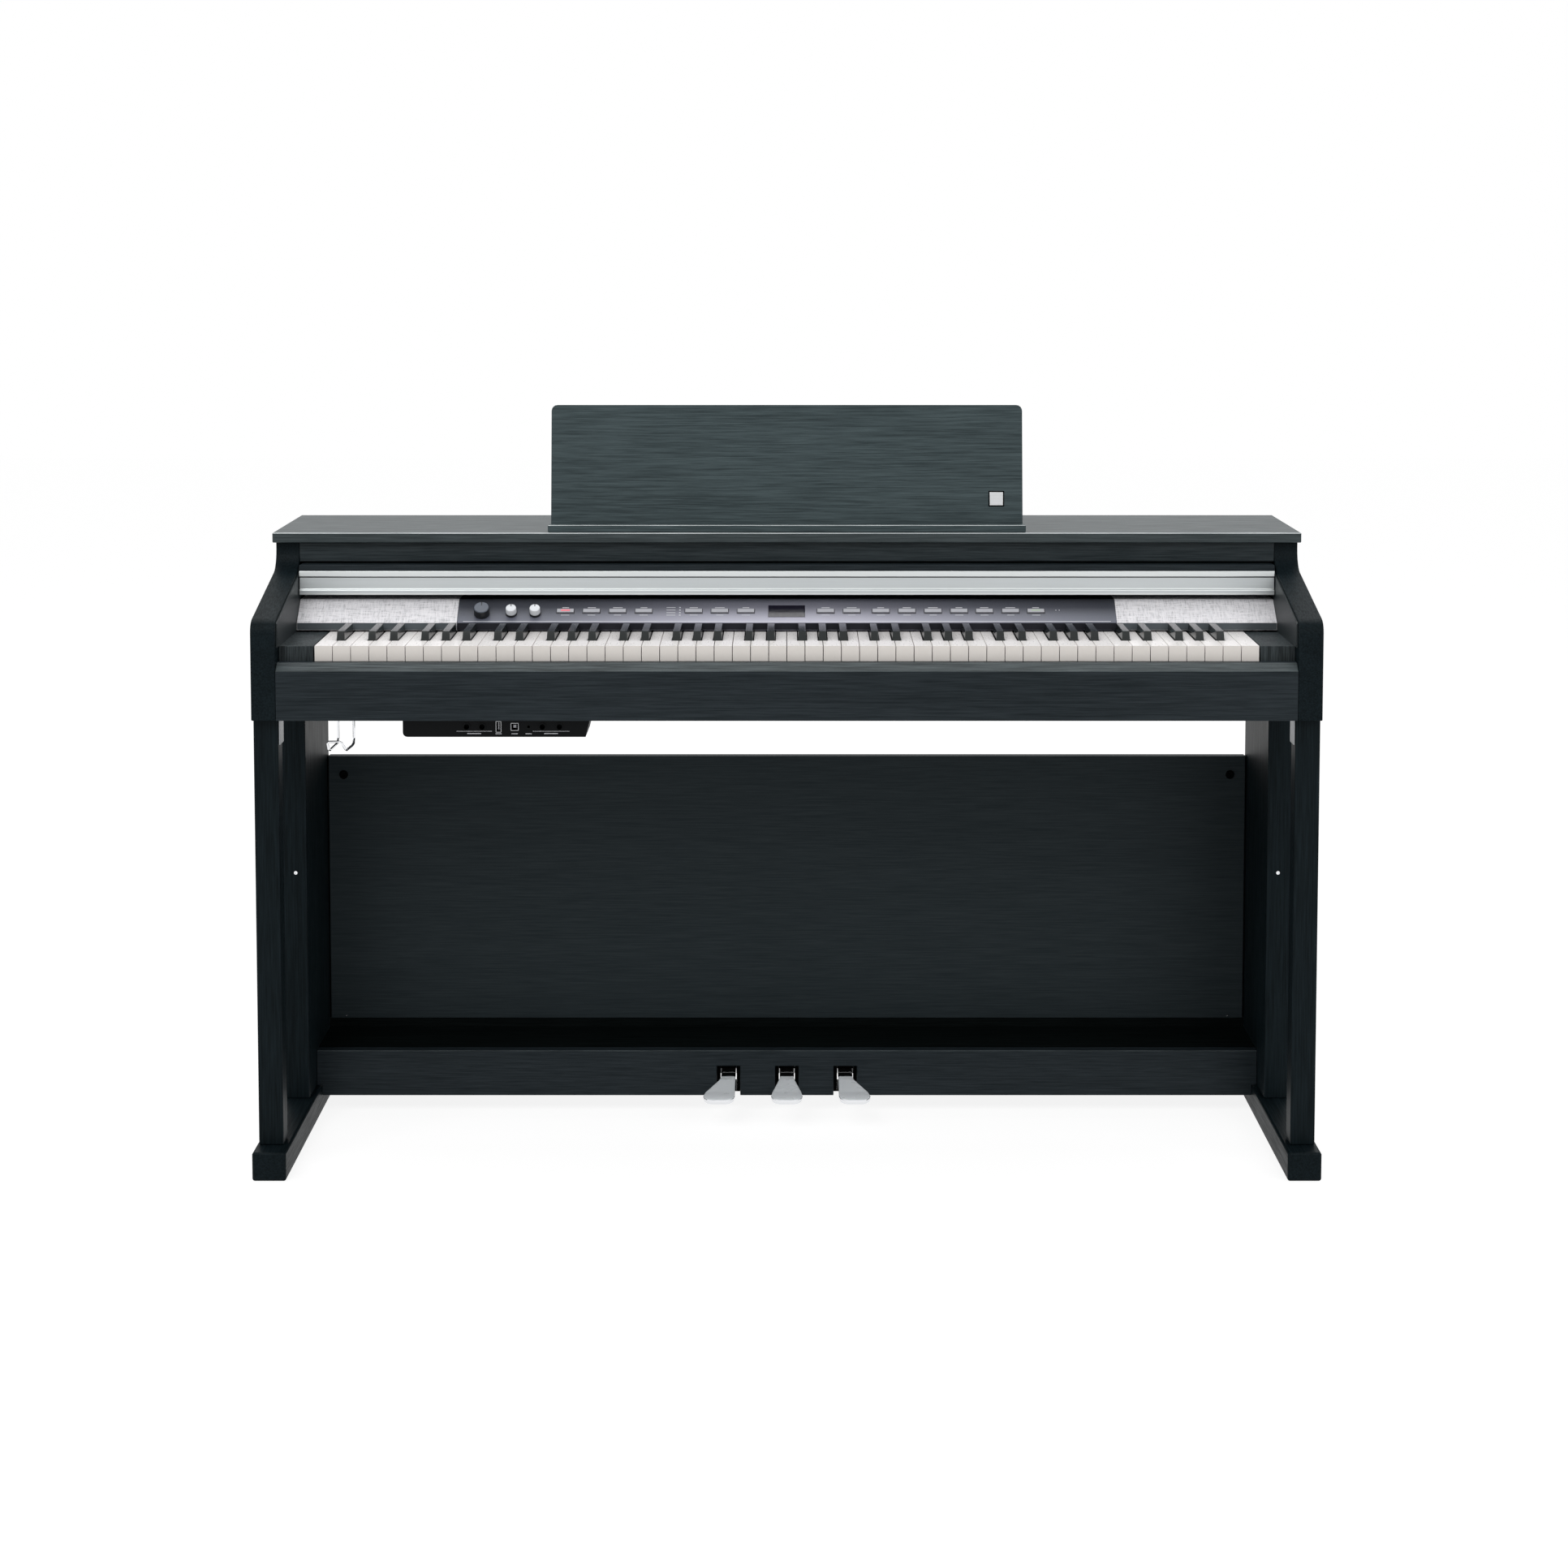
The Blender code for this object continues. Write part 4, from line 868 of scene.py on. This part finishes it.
STAND_BOLT_X, STAND_BOLT_Z = 0.6710, 0.353
BOARD_BOLT_X, BOARD_BOLT_DROP = 0.632, 0.0265
BOARD_PIN_LIFT = 0.004
BACK_SCREW_X = (0.640, 0.40, 0.15)
BACK_SCREW_DROPS = (0.015, 0.175)

# Heads: radius and height
STAND_BOLT, BOARD_BOLT = (0.0030, 0.0022), (0.0062, 0.0022)
BOARD_PIN, BACK_SCREW = (0.0012, 0.0008), (0.0034, 0.0014)


def add_bolt(bm, place, axis, radius, height):
    """A round head with a socket, which stands on its face along the axis."""
    socket, shoulder, floor = radius * 0.5, height * 0.6, height * 0.4
    bands = [(0, CLEARANCE, 0), (radius, CLEARANCE, 0),
             (radius, shoulder, 0), (radius * 0.8, height, 0),
             (socket, height, 0), (socket * 0.9, floor, 0), (0, floor, 0)]
    add_turned(bm, Matrix.Translation(place) @ facing(axis), bands, segments=24)


def finish_fasteners():
    """Bolts of the stand and of the back board, and screws of the back panel."""
    bright, dark, black = bmesh.new(), bmesh.new(), bmesh.new()
    side_low, _ = corners("right_side_board")
    board_low, board_high = corners("back_board")
    _, back_high = corners("body_back")
    for sign in SIDES:
        bolt = Vector((sign * STAND_BOLT_X, side_low.y, STAND_BOLT_Z))
        add_bolt(bright, bolt, TO_FRONT, *STAND_BOLT)
        bolt = Vector((sign * BOARD_BOLT_X, board_low.y, board_high.z - BOARD_BOLT_DROP))
        add_bolt(black, bolt, TO_FRONT, *BOARD_BOLT)
        pin = Vector((sign * BOARD_BOLT_X, board_low.y, board_low.z + BOARD_PIN_LIFT))
        add_bolt(bright, pin, TO_FRONT, *BOARD_PIN)
        for x in BACK_SCREW_X:
            for drop in BACK_SCREW_DROPS:
                screw = Vector((sign * x, back_high.y, back_high.z - drop))
                add_bolt(dark, screw, TO_BACK, *BACK_SCREW)
    for name, bm, key in (("bright_bolts", bright, "chrome"), ("dark_bolts", dark, "steel"),
                          ("board_bolts", black, "black_and_shade")):
        obj = add_object(name, bm, [key], "case")


# Sockets

SOCKET_Z = 0.5845
TONGUE_IN = 0.009           # from the box's face to the middle of a tongue
USB_SOCKETS = (             # X, width and height of the opening, size of the tongue
    (-0.3753, 0.0055, 0.0130, (0.0016, 0.010, 0.0100)),
    (-0.3543, 0.0086, 0.0084, (0.0040, 0.010, 0.0038)),
)
FRAME_WIDTH, FRAME_THICK, FRAME_PROUD = 0.0007, 0.0003, 0.0002
FRAME_OFFSET, FRAME_OVERLAP = 0.0005, 0.0012
JACK_X = (-0.4170, -0.3968, -0.3183, -0.2961)
RING_INNER, RING_OUTER, RING_PROUD = 0.0034, 0.0052, 0.0010
RING_CHAMFER = 0.0004

# Marks under the sockets: lines and dashes under a pair, and dashes under single sockets
PAIR_SPANS = ((-0.430, -0.384), (-0.331, -0.283))
SINGLE_X = (-0.3753, -0.3543, -0.3362)
PAIR_LINE = (0.0075, 0.0005)            # height above the box's bottom, height of the line
PAIR_DASH = (0.0045, 0.018, 0.0011)     # height above the box's bottom, width, height
SINGLE_DASH = (0.0042, 0.008, 0.0010)
SOCKET_MARK_PROUD = 0.0001

# Mains inlet: its middle, how deep the pins lie, and where each pin is
INLET_X, INLET_Z, PIN_IN = 0.480, 0.660, 0.010
PIN_SPREAD = ((-0.007, -0.002), (0.0, 0.003), (0.007, -0.002))
PIN_SIZE = (0.0022, 0.014, 0.0050)


def finish_usb(front):
    """The tongue in each rectangular socket, and the thin metal frame round it."""
    tongues, frames = [], []
    face_y = front - FRAME_PROUD
    for x, width, height, tongue in USB_SOCKETS:
        tongues.append((Vector((x, front + TONGUE_IN, SOCKET_Z)), tongue))
        for sign in SIDES:
            side = Vector((x + sign * (width / 2 + FRAME_OFFSET), face_y, SOCKET_Z))
            frames.append((side, (FRAME_WIDTH, FRAME_THICK, height + FRAME_OVERLAP)))
            edge = Vector((x, face_y, SOCKET_Z + sign * (height / 2 + FRAME_OFFSET)))
            frames.append((edge, (width + FRAME_OVERLAP, FRAME_THICK, FRAME_WIDTH)))
    blocks("usb_tongues", tongues, "mark", "case", 0.0002)
    blocks("usb_frames", frames, "steel", "case", 0.00008)


def finish_socket_marks(front, bottom):
    """Plain lines and dashes under the sockets."""
    rows = []
    line_up, line_height = PAIR_LINE
    for start, end in PAIR_SPANS:
        middle = (start + end) / 2
        rows.append((middle, line_up, end - start, line_height))
        rows.append((middle, *PAIR_DASH))
    rows += [(x, *SINGLE_DASH) for x in SINGLE_X]
    marks = [(Vector((x, front - SOCKET_MARK_PROUD, bottom + up)), (width, MARK_THICK, height))
             for x, up, width, height in rows]
    blocks("socket_marks", marks, "mark", "case", 0.00003)


def finish_socket_rings(front):
    """A raised plastic ring round each round socket."""
    section = [(RING_INNER, CLEARANCE, 0), (RING_OUTER, CLEARANCE, 0), (RING_OUTER, RING_PROUD, 0),
               (RING_INNER + RING_CHAMFER, RING_PROUD, 0), (RING_INNER, RING_PROUD * 0.6, 0)]
    bm = bmesh.new()
    for x in JACK_X:
        place = Matrix.Translation(Vector((x, front, SOCKET_Z))) @ facing(TO_FRONT)
        add_turned(bm, place, section, segments=32, closed=True)
    obj = add_object("socket_rings", bm, ["plastic"], "case")


def finish_sockets():
    """The details of the jack box, and the pins in the mains inlet."""
    low, _ = corners("jack_box")
    finish_usb(low.y)
    finish_socket_marks(low.y, low.z)
    finish_socket_rings(low.y)
    inlet_y = corners("mains_inlet")[1].y - PIN_IN
    pins = [(Vector((INLET_X + dx, inlet_y, INLET_Z + dz)), PIN_SIZE) for dx, dz in PIN_SPREAD]
    blocks("inlet_pins", pins, "steel", "case", 0.0003)


# Music board

REST_LEAN = math.radians(8.0)       # as in the CAD
PLATE_X, PLATE_UP = 0.283, 0.0395   # from the middle of the board's hinge
PLATE_SIDE, PLATE_THICK, PLATE_OUT = 0.0178, 0.0006, 0.0105
RIM_SIDE, RIM_THICK, RIM_OUT = 0.0212, 0.0004, 0.0102


def finish_rest_plate():
    """A blank plate near the board's right end, in a dark rim."""
    hinge = joint_place("music_board_fold")
    turn = Matrix.Rotation(-REST_LEAN, 4, "X")
    for name, key, slot, side, thick, out, edge in (
            ("rest_plate_rim", "black_and_shade", "case_plastic", RIM_SIDE, RIM_THICK, RIM_OUT, 0.0001),
            ("rest_plate", "steel", "steel", PLATE_SIDE, PLATE_THICK, PLATE_OUT, 0.0002)):
        centre = hinge + turn @ Vector((PLATE_X, -out, PLATE_UP))
        blocks(name, [(centre, (side, thick, side))], key, "music_board", edge, turn)


make_camera()
make_world()
make_floor()
make_lamps()
finish_case()
finish_rail()
finish_lips()
finish_slit_shade()
finish_keys()
finish_pedals()
finish_controls()
finish_knobs()
finish_fasteners()
finish_sockets()
finish_rest_plate()

bpy.context.scene.view_settings.view_transform = "Standard"
